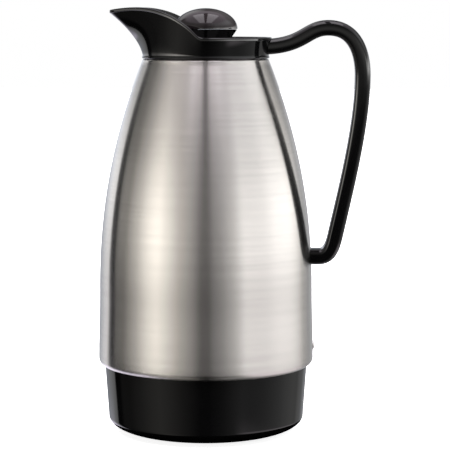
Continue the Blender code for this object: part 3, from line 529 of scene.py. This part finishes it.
def collar_section(azimuth):
    """Closed (radius, height) outline of the collar at one azimuth, drawn from the spigot out."""
    rim = rim_plan(azimuth)
    top = rim_height(rim * math.cos(azimuth))
    level = BODY_HEIGHT + REAR_RIM_RISE
    floor_z = level - BASIN_DEPTH
    low = BODY_HEIGHT + COLLAR_GAP
    under = low + GASKET_HEIGHT
    spigot = NECK_RADIUS - FLANGE_WIDTH - SPIGOT_GAP
    spigot_low = BODY_HEIGHT - SPIGOT_DEPTH
    seat = COLLAR_BASE_RADIUS - COLLAR_STEP
    section = [(spigot - SPIGOT_CHAMFER, spigot_low), (spigot, spigot_low + SPIGOT_CHAMFER),
               (spigot, under), (seat, under), (seat, low)]

    # the foot, its bead, and the outside of the wall
    across, up = FOOT_FILLET
    wall_low = low + up
    wall_high = top - LIP_HEIGHT
    steps = 16
    section += arc((COLLAR_BASE_RADIUS + FOOT_BEAD - across, wall_low), FOOT_FILLET, -90, 0, 6)[1:]
    for step in range(1, 7):
        height = step / 4
        bead = FOOT_BEAD * (1 - height / FOOT_BEAD_HEIGHT) ** 2
        section.append((COLLAR_BASE_RADIUS + bead, wall_low + height))
    for step in range(2, steps + 1):
        share = step / steps
        radius = COLLAR_BASE_RADIUS + (rim - COLLAR_BASE_RADIUS) * share ** SPOUT_FLARE
        section.append((radius, wall_low + (wall_high - wall_low) * share))

    # the lip
    lip = rim_plan(azimuth, LIP_OVERHANG)
    inside = rim_plan(azimuth, -COLLAR_WALL)
    inner_top = top - LIP_INNER_FILLET
    section += [(lip - LIP_CORNER[0], wall_high + LIP_CORNER[1]), (lip, wall_high + LIP_FACE_RISE)]
    section += arc((lip - LIP_FILLET, top - LIP_FILLET), (LIP_FILLET, LIP_FILLET), 0, 90, 5)
    section += arc((inside + LIP_INNER_FILLET, inner_top), (LIP_INNER_FILLET, LIP_INNER_FILLET),
                   90, 180, 4)

    # the inside of the wall, with the boss
    floor_edge = COLLAR_BASE_RADIUS - COLLAR_WALL
    inner_low = floor_z + BASIN_FILLET
    from_boss = BOSS_HALF_WIDTH + BOSS_SIDE_BLEND - abs(azimuth) * floor_edge
    boss = smooth_step(from_boss / BOSS_SIDE_BLEND) * BOSS_DEPTH
    for step in range(steps, -1, -1):
        share = step / steps
        radius = floor_edge + (inside - floor_edge) * share ** SPOUT_FLARE
        height = inner_low + (inner_top - inner_low) * share
        radius -= boss * smooth_step((level - BOSS_TOP_DROP - height) / BOSS_TOP_BLEND)
        section.append((radius, height))

    # the floor, the throat and the underside
    section += arc((floor_edge - BASIN_FILLET - boss, inner_low), (BASIN_FILLET, BASIN_FILLET),
                   0, -90, 4)[1:]
    section += arc((THROAT_RADIUS + THROAT_FILLET, floor_z - BASIN_FALL - THROAT_FILLET),
                   (THROAT_FILLET, THROAT_FILLET), 90, 180, 4)
    throat_low = plug_low.z + THROAT_FOOT_RISE
    throat_outer = THROAT_RADIUS + THROAT_WALL
    section += [(THROAT_RADIUS, throat_low + THROAT_CHAMFER),
                (THROAT_RADIUS + THROAT_CHAMFER, throat_low), (throat_outer, throat_low),
                (throat_outer, under - BASIN_UNDERSIDE[0]),
                (spigot - SPIGOT_WALL, under - BASIN_UNDERSIDE[1]),
                (spigot - SPIGOT_WALL, spigot_low)]
    return section


def build_collar(material):
    """Loft of sections round the axis, closer together towards the narrow spout tip."""
    even_steps = 65
    even_angle = 2.0
    tip_steps = 40
    crowding = 1.5
    half = [math.radians(even_angle * step) for step in range(even_steps + 1)]
    start = half[-1]
    for step in range(1, tip_steps + 1):
        share = step / tip_steps
        half.append(start + (math.pi - start) * (1 - (1 - share) ** crowding))
    azimuths = half + [-angle for angle in reversed(half[1:-1])]
    work = bmesh.new()
    ring_grid(work, [around(collar_section(azimuth), azimuth) for azimuth in azimuths])
    piece = finish_piece("collar_moulding", work, "carafe", ("collar",))
    piece.data.materials.append(material)


# ---------------------------------------------------------------- handle
def handle_line():
    """Points along the middle of the handle, in the XZ plane, from the collar to the shell."""
    lean = math.radians(HANDLE_ELBOW_LEAN)
    along = Vector((math.sin(lean), math.cos(lean)))
    root = Vector((COLLAR_BASE_RADIUS - HANDLE_SINK, BODY_HEIGHT + HANDLE_ROOT_RISE))
    crest = Vector((HANDLE_CREST_REACH, BODY_HEIGHT + HANDLE_CREST_RISE))
    grip = Vector((HANDLE_REACH, BODY_HEIGHT - HANDLE_REACH_DEPTH))
    elbow = Vector((HANDLE_ELBOW_REACH, HANDLE_ELBOW_HEIGHT))
    stub = Vector((HANDLE_STUB_REACH, HANDLE_STUB_HEIGHT))
    end = Vector((BODY_RADIUS - HANDLE_SINK, HANDLE_STUB_HEIGHT))
    level = Vector((1, 0))
    upright = Vector((0, 1))
    spans = [
        (root, root + level * ROOT_PULL, crest - level * CREST_PULL, crest, 40),
        (crest, crest + level * CREST_PULL, grip + upright * GRIP_PULL, grip, 36),
        (grip, grip - upright * STRAIGHT_PULL, elbow + along * STRAIGHT_PULL, elbow, 36),
        (elbow, elbow - along * ELBOW_PULL, stub + level * STUB_PULL, stub, 20),
        (stub, stub - level, end + level, end, 8),
    ]
    line = []
    for start, start_handle, end_handle, finish, steps in spans:
        line += bezier(start, start_handle, end_handle, finish, steps)[1 if line else 0:]
    return line


def handle_profile():
    """Rounded rectangle across the grip, softer on its outer side: (thickness, width)."""
    profile = []
    corners = ((1, 1, HANDLE_OUTER_EDGE), (-1, 1, HANDLE_INNER_EDGE),
               (-1, -1, HANDLE_INNER_EDGE), (1, -1, HANDLE_OUTER_EDGE))
    for index, (side, end, edge) in enumerate(corners):
        centre = (side * (HANDLE_THICKNESS / 2 - edge[0]), end * (HANDLE_WIDTH / 2 - edge[1]))
        profile += arc(centre, edge, 90 * index, 90 * index + 90, 9)
    return profile


def body_cutter():
    """A turned solid just larger than the shell and collar, which trims the handle's ends."""
    body = [(0, RIM_HEIGHT), (BASE_RADIUS, RIM_HEIGHT)]
    body += list(reversed(shell_side(JOINT_GAP)))[2:]
    low = BODY_HEIGHT + COLLAR_GAP
    top = BODY_HEIGHT + REAR_RIM_RISE - LIP_HEIGHT
    body.append((COLLAR_BASE_RADIUS + JOINT_GAP, low))
    flare = COLLAR_RIM_RADIUS - COLLAR_BASE_RADIUS
    steps = 8
    for step in range(1, steps + 1):
        share = step / steps
        radius = COLLAR_BASE_RADIUS + flare * share ** SPOUT_FLARE
        body.append((radius + JOINT_GAP, low + (top - low) * share))
    lip = COLLAR_RIM_RADIUS + LIP_OVERHANG + JOINT_GAP
    body += [(lip, top), (lip, top + TRIM_RISE), (0, top + TRIM_RISE)]
    return turned("handle_trim", body, None, facets=180, ring=False)


def build_handle(material):
    """Sweep the profile along the handle's line, then trim both ends to the body."""
    line = handle_line()
    profile = handle_profile()
    rings = []
    for index, point in enumerate(line):
        before = line[max(index - 1, 0)]
        after = line[min(index + 1, len(line) - 1)]
        run = Vector((after[0] - before[0], after[1] - before[1])).normalized()
        rings.append([(point[0] - run.y * across, along, point[1] + run.x * across)
                      for across, along in profile])
    work = bmesh.new()
    made = ring_grid(work, rings, close_along=False)
    work.faces.new(made[0])
    work.faces.new(made[-1])
    piece = finish_piece("handle_moulding", work, "carafe", ("handle",))
    trim = body_cutter()
    modifier = piece.modifiers.new("trim_ends", "BOOLEAN")
    modifier.operation = "DIFFERENCE"
    modifier.solver = "EXACT"
    modifier.object = trim
    bpy.context.view_layer.update()
    evaluated = piece.evaluated_get(bpy.context.evaluated_depsgraph_get())
    trimmed = bpy.data.meshes.new_from_object(evaluated)
    piece.modifiers.clear()
    piece.data = trimmed
    trimmed.name = "handle_moulding"
    trimmed.shade_smooth()
    trimmed.set_sharp_from_angle(angle=math.radians(CREASE))
    bpy.data.objects.remove(trim, do_unlink=True)
    piece.data.materials.clear()
    piece.data.materials.append(material)


# ---------------------------------------------------------------- stopper
def build_knob(material):
    """Domed cap that closes the stopper."""
    edge_z = knob_low.z
    dome = knob_high.z - edge_z
    inward, up = KNOB_EDGE
    outline = [(0, edge_z), (KNOB_RADIUS - inward, edge_z)]
    outline += arc((0, edge_z + up), (KNOB_RADIUS, dome - up), 0, 90, 48)
    piece = turned("knob_dome", outline, "stopper", ("knob_cap",), ring=False)
    piece.data.materials.append(material)


def thread_line(azimuth, top, steps=40):
    """The thread's outline at an azimuth, going down: one ridge that climbs a pitch a turn."""
    low = top - THREAD_HEIGHT
    line = []
    for step in range(steps + 1):
        height = top - THREAD_HEIGHT * step / steps
        phase = (height / THREAD_PITCH - azimuth / (2 * math.pi)) % 1.0
        ridge = smooth_step(THREAD_CREST - abs(phase - 0.5) * THREAD_STEEPNESS)
        ridge *= smooth_step(min(top - height, height - low) / THREAD_FADE)
        line.append((THREAD_RADIUS - THREAD_DEPTH * (1 - ridge), height))
    return line


def build_plug(material):
    """Stopper body: skirt, shank, a helical thread and the flange under the seal ring."""
    top = plug_high.z
    low = plug_low.z
    groove_low = low + SEAL_FLANGE_HEIGHT
    thread_top = BODY_HEIGHT + REAR_RIM_RISE - BASIN_DEPTH - THREAD_DROP
    upper, lower = SEAL_FLANGE_EDGES
    hollow = SHANK_RADIUS - STOPPER_WALL
    hollow_top = top - STOPPER_TOP_WALL
    above = [(0.0, top), (KNOB_RADIUS - SKIRT_INSET[0], top),
             (KNOB_RADIUS - SKIRT_INSET[1], top - SKIRT_CHAMFER),
             (SHANK_RADIUS + SKIRT_FOOT[0], thread_top + SKIRT_FOOT[1]),
             (SHANK_RADIUS, thread_top + SHANK_TOP), (SHANK_RADIUS, thread_top)]
    below = [(SHANK_RADIUS, thread_top - THREAD_HEIGHT), (SHANK_RADIUS, groove_low + SHANK_FILLET),
             (SHANK_RADIUS + SHANK_FILLET, groove_low), (SEAL_FLANGE_RADIUS - upper, groove_low),
             (SEAL_FLANGE_RADIUS, groove_low - upper), (SEAL_FLANGE_RADIUS, low + lower),
             (SEAL_FLANGE_RADIUS - lower, low), (hollow, low), (hollow, hollow_top),
             (0.0, hollow_top)]
    facets = 144
    rings = []
    for step in range(facets):
        azimuth = 2 * math.pi * step / facets
        rings.append(around(above + thread_line(azimuth, thread_top) + below, azimuth))
    work = bmesh.new()
    ring_grid(work, rings, close_around=False)
    piece = finish_piece("stopper_plug", work, "stopper", ("stopper_body",),
                         crease=THREAD_CREASE)
    piece.data.materials.append(material)


# ---------------------------------------------------------------- carried-over nodes
def dress_nodes(materials):
    """Give each CAD node that stays its procedural material."""
    finishes = {
        "rubber": ("foot_pad", "liner_cushion", "collar_gasket"),
        "moulding": ("base_thread_ring", "collar_lock_ring"),
        "glass": ("liner_outer", "liner_inner"),
        "pad": ("liner_spacer_1", "liner_spacer_2", "liner_spacer_3"),
        "silicone": ("neck_gasket", "stopper_lip_seal", "stopper_gasket"),
        "metal": ("handle_washer", "handle_screw"),
        "gloss": ("stopper_bottom_cap",),
        "foam": ("stopper_core",),
    }
    for finish, names in finishes.items():
        for name in names:
            node = bpy.data.objects[name]
            node.data.materials.clear()
            node.data.materials.append(materials[finish])


# ---------------------------------------------------------------- studio
CAMERA_AZIMUTH = 2.2           # degrees that the camera stands round towards the handle
CAMERA_DISTANCE = 1.307        # metres, as are the other places in the studio
CAMERA_HEIGHT = 0.286
CAMERA_SIDE = 0.0131
CAMERA_PITCH = 6.3
LENS = 153.5                   # mm, on a sensor as wide as SENSOR
SENSOR = 36.0

GAIN = 1.6                     # brightness of the studio's walls
LOW_LIFT = 3.7                 # low panels above the horizon, where the steel's blur averages them

# upright panels low round the room: degrees from the camera (positive on the handle's side),
# brightness, warmth, and how much of the panel goes on below the horizon
LOW_PANELS = (
    (-180, 0.18, -0.05, 1.2), (-172, 0.28, -0.05, 1.4), (-158, 0.31, -0.05, 1.4),
    (-138, 0.50, -0.01, 1.35), (-128.5, 0.52, 0.0, 1.2), (-126.5, 0.01, 0.0, 0.3),
    (-117, 0.02, 0.0, 0.3), (-112, 0.19, 0.02, 0.25), (-98, 0.24, 0.03, 0.25),
    (-80, 0.66, 0.03, 0.25), (-64, 1.32, 0.035, 0.24), (-54, 1.58, 0.035, 0.24),
    (-43, 1.22, 0.035, 0.25), (-28, 0.64, 0.035, 0.25), (-15, 0.36, 0.025, 0.2),
    (-8, 0.20, 0.02, 0.15), (-6, 0.145, 0.02, 0.12), (5, 0.145, 0.02, 0.12),
    (7, 0.21, 0.01, 0.15), (18, 0.34, 0.01, 0.2), (31, 0.68, 0.01, 0.25),
    (43, 1.16, 0.005, 0.23), (55, 1.07, 0.005, 0.23), (67, 1.05, 0.005, 0.26),
    (85, 1.24, 0.005, 0.31), (104, 1.20, 0.005, 0.4), (116, 1.0, 0.01, 0.45),
    (130, 0.50, 0.01, 0.6), (144, 0.22, -0.01, 1.5), (160, 0.17, -0.02, 2.8),
    (180, 0.14, -0.04, 2.8),
)
# the same room well above the horizon
HIGH_PANELS = (
    (-180, 0.12, 0.0), (-168, 0.9, 0.0), (-150, 1.0, 0.0), (-134, 0.9, 0.0), (-130, 0.05, 0.0),
    (-120, 0.16, 0.01), (-98, 0.25, 0.01), (-82, 0.31, 0.01), (-62, 0.34, 0.02),
    (-45, 0.37, 0.02), (-22, 0.36, 0.01), (-9, 0.28, 0.01), (-6, 0.17, 0.01), (5, 0.17, 0.0),
    (8, 0.32, 0.0), (26, 0.58, -0.01), (42, 0.90, -0.01), (64, 1.1, -0.01), (80, 1.28, -0.01),
    (96, 1.36, -0.01), (112, 1.2, -0.01), (130, 0.42, 0.0), (165, 0.30, 0.0), (180, 0.12, 0.0),
)
# heights, as the Z of a direction, from which and to which each change in the room takes place
HORIZON = (-0.08, 0.035)       # the low panels rise to LOW_LIFT
LOW_FALL = (0.035, 0.20)       # they drop to LOW_REST of that
LOW_REST = 0.16
ROOM_CHANGE = (0.25, 0.55)     # the high panels take over from them
CEILING_EDGE = (0.60, 0.78)    # the ceiling takes over from the high panels

CEILING = (0.86, 0.78, 0.86)   # ceiling round its two windows, which a bar divides
BAR_COLOUR = (0.06, 0.055, 0.06)
WINDOW = (2.6, 2.45, 2.6)
WINDOW_WIDTH = 0.46            # half width over the ceiling's height
WINDOW_LENGTH = 0.7
WINDOW_SOFTNESS = 0.08
WINDOW_BAR = 0.045
BAR_SOFTNESS = 0.03
BAR_END_SOFTNESS = 0.1
WINDOW_SHIFT = -0.14           # towards the camera
LEAST_HEIGHT = 0.05            # keeps the ceiling's plan finite near the horizon

# two glows below the horizon, each bounded by smooth steps along a direction's axes
LEFT_GLOW = (1.45, 1.38, 1.62)  # the left panel's foot, seen from below and behind
LEFT_GLOW_STEPS = (("X", -0.08, -0.2), ("X", -0.70, -0.58), ("Y", 0.02, 0.16),
                   ("Z", -0.21, -0.33))
RIGHT_GLOW = (1.2, 1.1, 1.16)  # the table's far right, seen by the handle's sloping outer side
RIGHT_GLOW_STEPS = (("X", 0.5, 0.72), ("Z", -0.31, -0.40))

FLOOR_SIZE = 6.0               # half its width
FLOOR_DROP = 0.0002            # the floor lies this far under the foot, so that they don't touch
FLOOR_GLOW = 0.86
SHADE_DROP = 0.0001
SHADE_MARGIN = 3.0             # mm round the base cup
SHADE_PLACE = (0.004, -0.002)
LIGHT_SIZE = 5.0
LIGHT_POWER = 190.0
LIGHT_HEIGHT = 3.0


def build_camera():
    """A long lens a little above the carafe's top, turned slightly towards the handle."""
    data = bpy.data.cameras.new("view")
    data.lens = LENS
    data.sensor_width = SENSOR
    camera = bpy.data.objects.new("view", data)
    turn = math.radians(CAMERA_AZIMUTH)
    camera.location = (CAMERA_SIDE * math.cos(turn) + CAMERA_DISTANCE * math.sin(turn),
                       CAMERA_SIDE * math.sin(turn) - CAMERA_DISTANCE * math.cos(turn),
                       CAMERA_HEIGHT)
    camera.rotation_euler = (math.radians(90 - CAMERA_PITCH), 0, turn)
    bpy.context.scene.collection.objects.link(camera)
    bpy.context.scene.camera = camera


def feed(tree, socket, value):
    """Give an input a plain value, or the output of another node."""
    if isinstance(value, bpy.types.NodeSocket):
        tree.links.new(value, socket)
    else:
        socket.default_value = value


def math_node(tree, operation, first, second=0.0):
    """One step of arithmetic."""
    node = tree.nodes.new("ShaderNodeMath")
    node.operation = operation
    feed(tree, node.inputs[0], first)
    feed(tree, node.inputs[1], second)
    return node.outputs[0]


def soft_step(tree, source, start, end, low=0.0, high=1.0):
    """A smooth change from low to high as a source goes from start to end."""
    node = tree.nodes.new("ShaderNodeMapRange")
    node.interpolation_type = "SMOOTHSTEP"
    feed(tree, node.inputs["Value"], source)
    feed(tree, node.inputs["From Min"], start)
    feed(tree, node.inputs["From Max"], end)
    feed(tree, node.inputs["To Min"], low)
    feed(tree, node.inputs["To Max"], high)
    return node.outputs["Result"]


def mix_node(tree, factor, first, second):
    """A colour between two others."""
    node = tree.nodes.new("ShaderNodeMix")
    node.data_type = "RGBA"
    feed(tree, node.inputs["Factor"], factor)
    feed(tree, node.inputs["A"], first)
    feed(tree, node.inputs["B"], second)
    return node.outputs["Result"]


def over_gain(colour):
    """A colour of the room as a node takes it, before the background's strength."""
    return (*[value / GAIN for value in colour], 1.0)


def panel_ramp(tree, panels, source):
    """A colour ramp round the room, with the panels' lower share in its alpha."""
    ramp = tree.nodes.new("ShaderNodeValToRGB")
    feed(tree, ramp.inputs["Fac"], source)
    elements = ramp.color_ramp.elements
    for index, (degrees, level, warmth, *lower) in enumerate(panels):
        position = (degrees + 180) / 360
        if index < 2:
            element = elements[index]
            element.position = position
        else:
            element = elements.new(position)
        shade = level / GAIN
        share = lower[0] if lower else 1.0
        element.color = (shade * (1 + warmth), shade, shade * (1 - 2 * warmth), share)
    return ramp


def ceiling_colour(tree, split):
    """Two long windows in the ceiling, side by side, with a dark bar between them."""
    height = math_node(tree, "MAXIMUM", split.outputs["Z"], LEAST_HEIGHT)
    across = math_node(tree, "DIVIDE", split.outputs["X"], height)
    across = math_node(tree, "ABSOLUTE", across)
    along = math_node(tree, "DIVIDE", split.outputs["Y"], height)
    along = math_node(tree, "ABSOLUTE", math_node(tree, "SUBTRACT", along, WINDOW_SHIFT))
    past_bar = soft_step(tree, across, WINDOW_BAR, WINDOW_BAR + BAR_SOFTNESS)
    before_side = soft_step(tree, across, WINDOW_WIDTH, WINDOW_WIDTH - WINDOW_SOFTNESS)
    before_end = soft_step(tree, along, WINDOW_LENGTH, WINDOW_LENGTH - WINDOW_SOFTNESS)
    inside = math_node(tree, "MULTIPLY", past_bar, before_side)
    inside = math_node(tree, "MULTIPLY", inside, before_end)
    on_bar = soft_step(tree, across, WINDOW_BAR + BAR_SOFTNESS, WINDOW_BAR)
    bar_end = soft_step(tree, along, WINDOW_LENGTH + BAR_END_SOFTNESS, WINDOW_LENGTH)
    bar = math_node(tree, "MULTIPLY", on_bar, bar_end)
    shade = mix_node(tree, bar, over_gain(CEILING), (*BAR_COLOUR, 1.0))
    return mix_node(tree, inside, shade, over_gain(WINDOW))


def build_world():
    """A studio of upright panels whose brightness changes round the room and with height."""
    world = bpy.data.worlds.new("studio")
    bpy.context.scene.world = world
    world.use_nodes = True
    tree = world.node_tree
    background = tree.nodes["Background"]
    place = tree.nodes.new("ShaderNodeTexCoord")
    split = tree.nodes.new("ShaderNodeSeparateXYZ")
    rotate = tree.nodes.new("ShaderNodeVectorRotate")
    rotate.rotation_type = "Z_AXIS"
    rotate.inputs["Angle"].default_value = -math.radians(CAMERA_AZIMUTH)
    feed(tree, rotate.inputs["Vector"], place.outputs["Generated"])
    feed(tree, split.inputs["Vector"], rotate.outputs["Vector"])
    height = split.outputs["Z"]

    # a direction's share of the way round the room, from behind the object by its left
    towards = math_node(tree, "MULTIPLY", split.outputs["Y"], -1.0)
    share = tree.nodes.new("ShaderNodeMapRange")
    share.inputs["From Min"].default_value = -math.pi
    share.inputs["From Max"].default_value = math.pi
    feed(tree, share.inputs["Value"], math_node(tree, "ARCTAN2", split.outputs["X"], towards))
    low = panel_ramp(tree, LOW_PANELS, share.outputs["Result"])
    high = panel_ramp(tree, HIGH_PANELS, share.outputs["Result"])

    # each low panel goes on below the horizon with its own share
    rise = soft_step(tree, height, *HORIZON, low.outputs["Alpha"], LOW_LIFT)
    level = math_node(tree, "MULTIPLY", rise, soft_step(tree, height, *LOW_FALL, 1.0, LOW_REST))
    lit = tree.nodes.new("ShaderNodeVectorMath")
    lit.operation = "SCALE"
    feed(tree, lit.inputs[0], low.outputs["Color"])
    feed(tree, lit.inputs["Scale"], level)
    colour = mix_node(tree, soft_step(tree, height, *ROOM_CHANGE), lit.outputs["Vector"],
                      high.outputs["Color"])
    colour = mix_node(tree, soft_step(tree, height, *CEILING_EDGE), colour,
                      ceiling_colour(tree, split))
    for light, steps in ((LEFT_GLOW, LEFT_GLOW_STEPS), (RIGHT_GLOW, RIGHT_GLOW_STEPS)):
        amount = 1.0
        for axis, start, end in steps:
            step = soft_step(tree, split.outputs[axis], start, end)
            amount = math_node(tree, "MULTIPLY", amount, step)
        colour = mix_node(tree, amount, colour, over_gain(light))
    feed(tree, background.inputs["Color"], colour)
    background.inputs["Strength"].default_value = GAIN

    # the backdrop itself is plain white to the camera
    white = tree.nodes.new("ShaderNodeBackground")
    white.inputs["Color"].default_value = (1.0, 1.0, 1.0, 1.0)
    path = tree.nodes.new("ShaderNodeLightPath")
    choose = tree.nodes.new("ShaderNodeMixShader")
    feed(tree, choose.inputs["Fac"], path.outputs["Is Camera Ray"])
    feed(tree, choose.inputs[1], background.outputs["Background"])
    feed(tree, choose.inputs[2], white.outputs["Background"])
    feed(tree, tree.nodes["World Output"].inputs["Surface"], choose.outputs["Shader"])


def stage_piece(name, work, height):
    """Turn a mesh into a piece of the studio, which isn't part of the carafe."""
    mesh = bpy.data.meshes.new(name)
    work.to_mesh(mesh)
    work.free()
    piece = bpy.data.objects.new(name, mesh)
    bpy.context.scene.collection.objects.link(piece)
    piece.location.z = height
    return piece


def build_floor():
    """A plain white floor, and a painted shadow: the dark patch that the carafe's foot sees close
    to itself in reflections, in place of the table's contact shade.
    """
    work = bmesh.new()
    bmesh.ops.create_grid(work, x_segments=1, y_segments=1, size=FLOOR_SIZE)
    floor = stage_piece("floor", work, -FLOOR_DROP)
    floor.visible_glossy = False
    floor.visible_diffuse = False
    make = Nodes("floor_white")
    make.set(Roughness=0.9, Specular_IOR_Level=0.0, Emission_Color=(1.0, 1.0, 1.0, 1.0),
             Emission_Strength=FLOOR_GLOW)
    cloud = make.noise((2.0, 2.0, 2.0))
    make.tint(cloud, dark=(0.93, 0.93, 0.93), light=(0.95, 0.95, 0.95))
    floor.data.materials.append(make.material)

    # painted shadow: a near-black disc just under the foot, seen only by glossy rays, that stands
    # in for the shade on the table round the base
    work = bmesh.new()
    bmesh.ops.create_circle(work, cap_ends=True, segments=96,
                            radius=(BASE_RADIUS + SHADE_MARGIN) * MM)
    patch = stage_piece("foot_shade", work, -SHADE_DROP)
    patch.location.x, patch.location.y = SHADE_PLACE
    patch.visible_camera = False
    patch.visible_diffuse = False
    patch.visible_shadow = False
    make = Nodes("foot_shade_fine")
    make.set(Roughness=0.9, Specular_IOR_Level=0.0)
    cloud = make.noise((30.0, 30.0, 30.0))
    make.tint(cloud, dark=(0.002, 0.002, 0.002), light=(0.004, 0.004, 0.004))
    patch.data.materials.append(make.material)


def build_lights():
    """A broad light overhead that whitens the floor and isn't seen in reflections."""
    data = bpy.data.lights.new("overhead", "AREA")
    data.shape = "DISK"
    data.size = LIGHT_SIZE
    data.energy = LIGHT_POWER
    light = bpy.data.objects.new("overhead", data)
    light.location = (0.0, 0.0, LIGHT_HEIGHT)
    light.visible_glossy = False
    bpy.context.scene.collection.objects.link(light)


def main():
    """Make the materials and the studio, then each fine surface in place of its CAD node."""
    steel = brushed_steel()
    gloss = black_gloss()
    knob_gloss = black_gloss("knob_gloss_fine", colour=0.009, polish=0.04, warm=1.3)
    metal = bright_metal()
    materials = {
        "gloss": gloss,
        "metal": metal,
        "glass": silvered_glass(),
        "rubber": soft_material("rubber_fine", dark=(0.014, 0.014, 0.014),
                                light=(0.028, 0.027, 0.026), roughness=0.72,
                                grain_size=0.6, depth=0.02),
        "moulding": soft_material("moulding_fine", dark=(0.04, 0.04, 0.043),
                                  light=(0.06, 0.06, 0.064), roughness=0.45,
                                  grain_size=0.8, depth=0.01),
        "silicone": soft_material("silicone_fine", dark=(0.66, 0.65, 0.61),
                                  light=(0.76, 0.75, 0.71), roughness=0.42,
                                  grain_size=1.5, depth=0.008),
        "pad": soft_material("pad_fine", dark=(0.60, 0.58, 0.52), light=(0.72, 0.70, 0.64),
                             roughness=0.85, grain_size=0.5, depth=0.03),
        "foam": soft_material("foam_fine", dark=(0.70, 0.67, 0.58), light=(0.86, 0.83, 0.76),
                              roughness=0.9, grain_size=0.9, depth=0.12),
    }
    build_camera()
    build_world()
    build_floor()
    build_lights()
    build_shell(steel)
    build_base(gloss)
    build_lock_screw(metal)
    build_collar(gloss)
    build_handle(gloss)
    build_knob(knob_gloss)
    build_plug(gloss)
    dress_nodes(materials)
    bpy.context.scene.view_settings.view_transform = "Standard"


main()
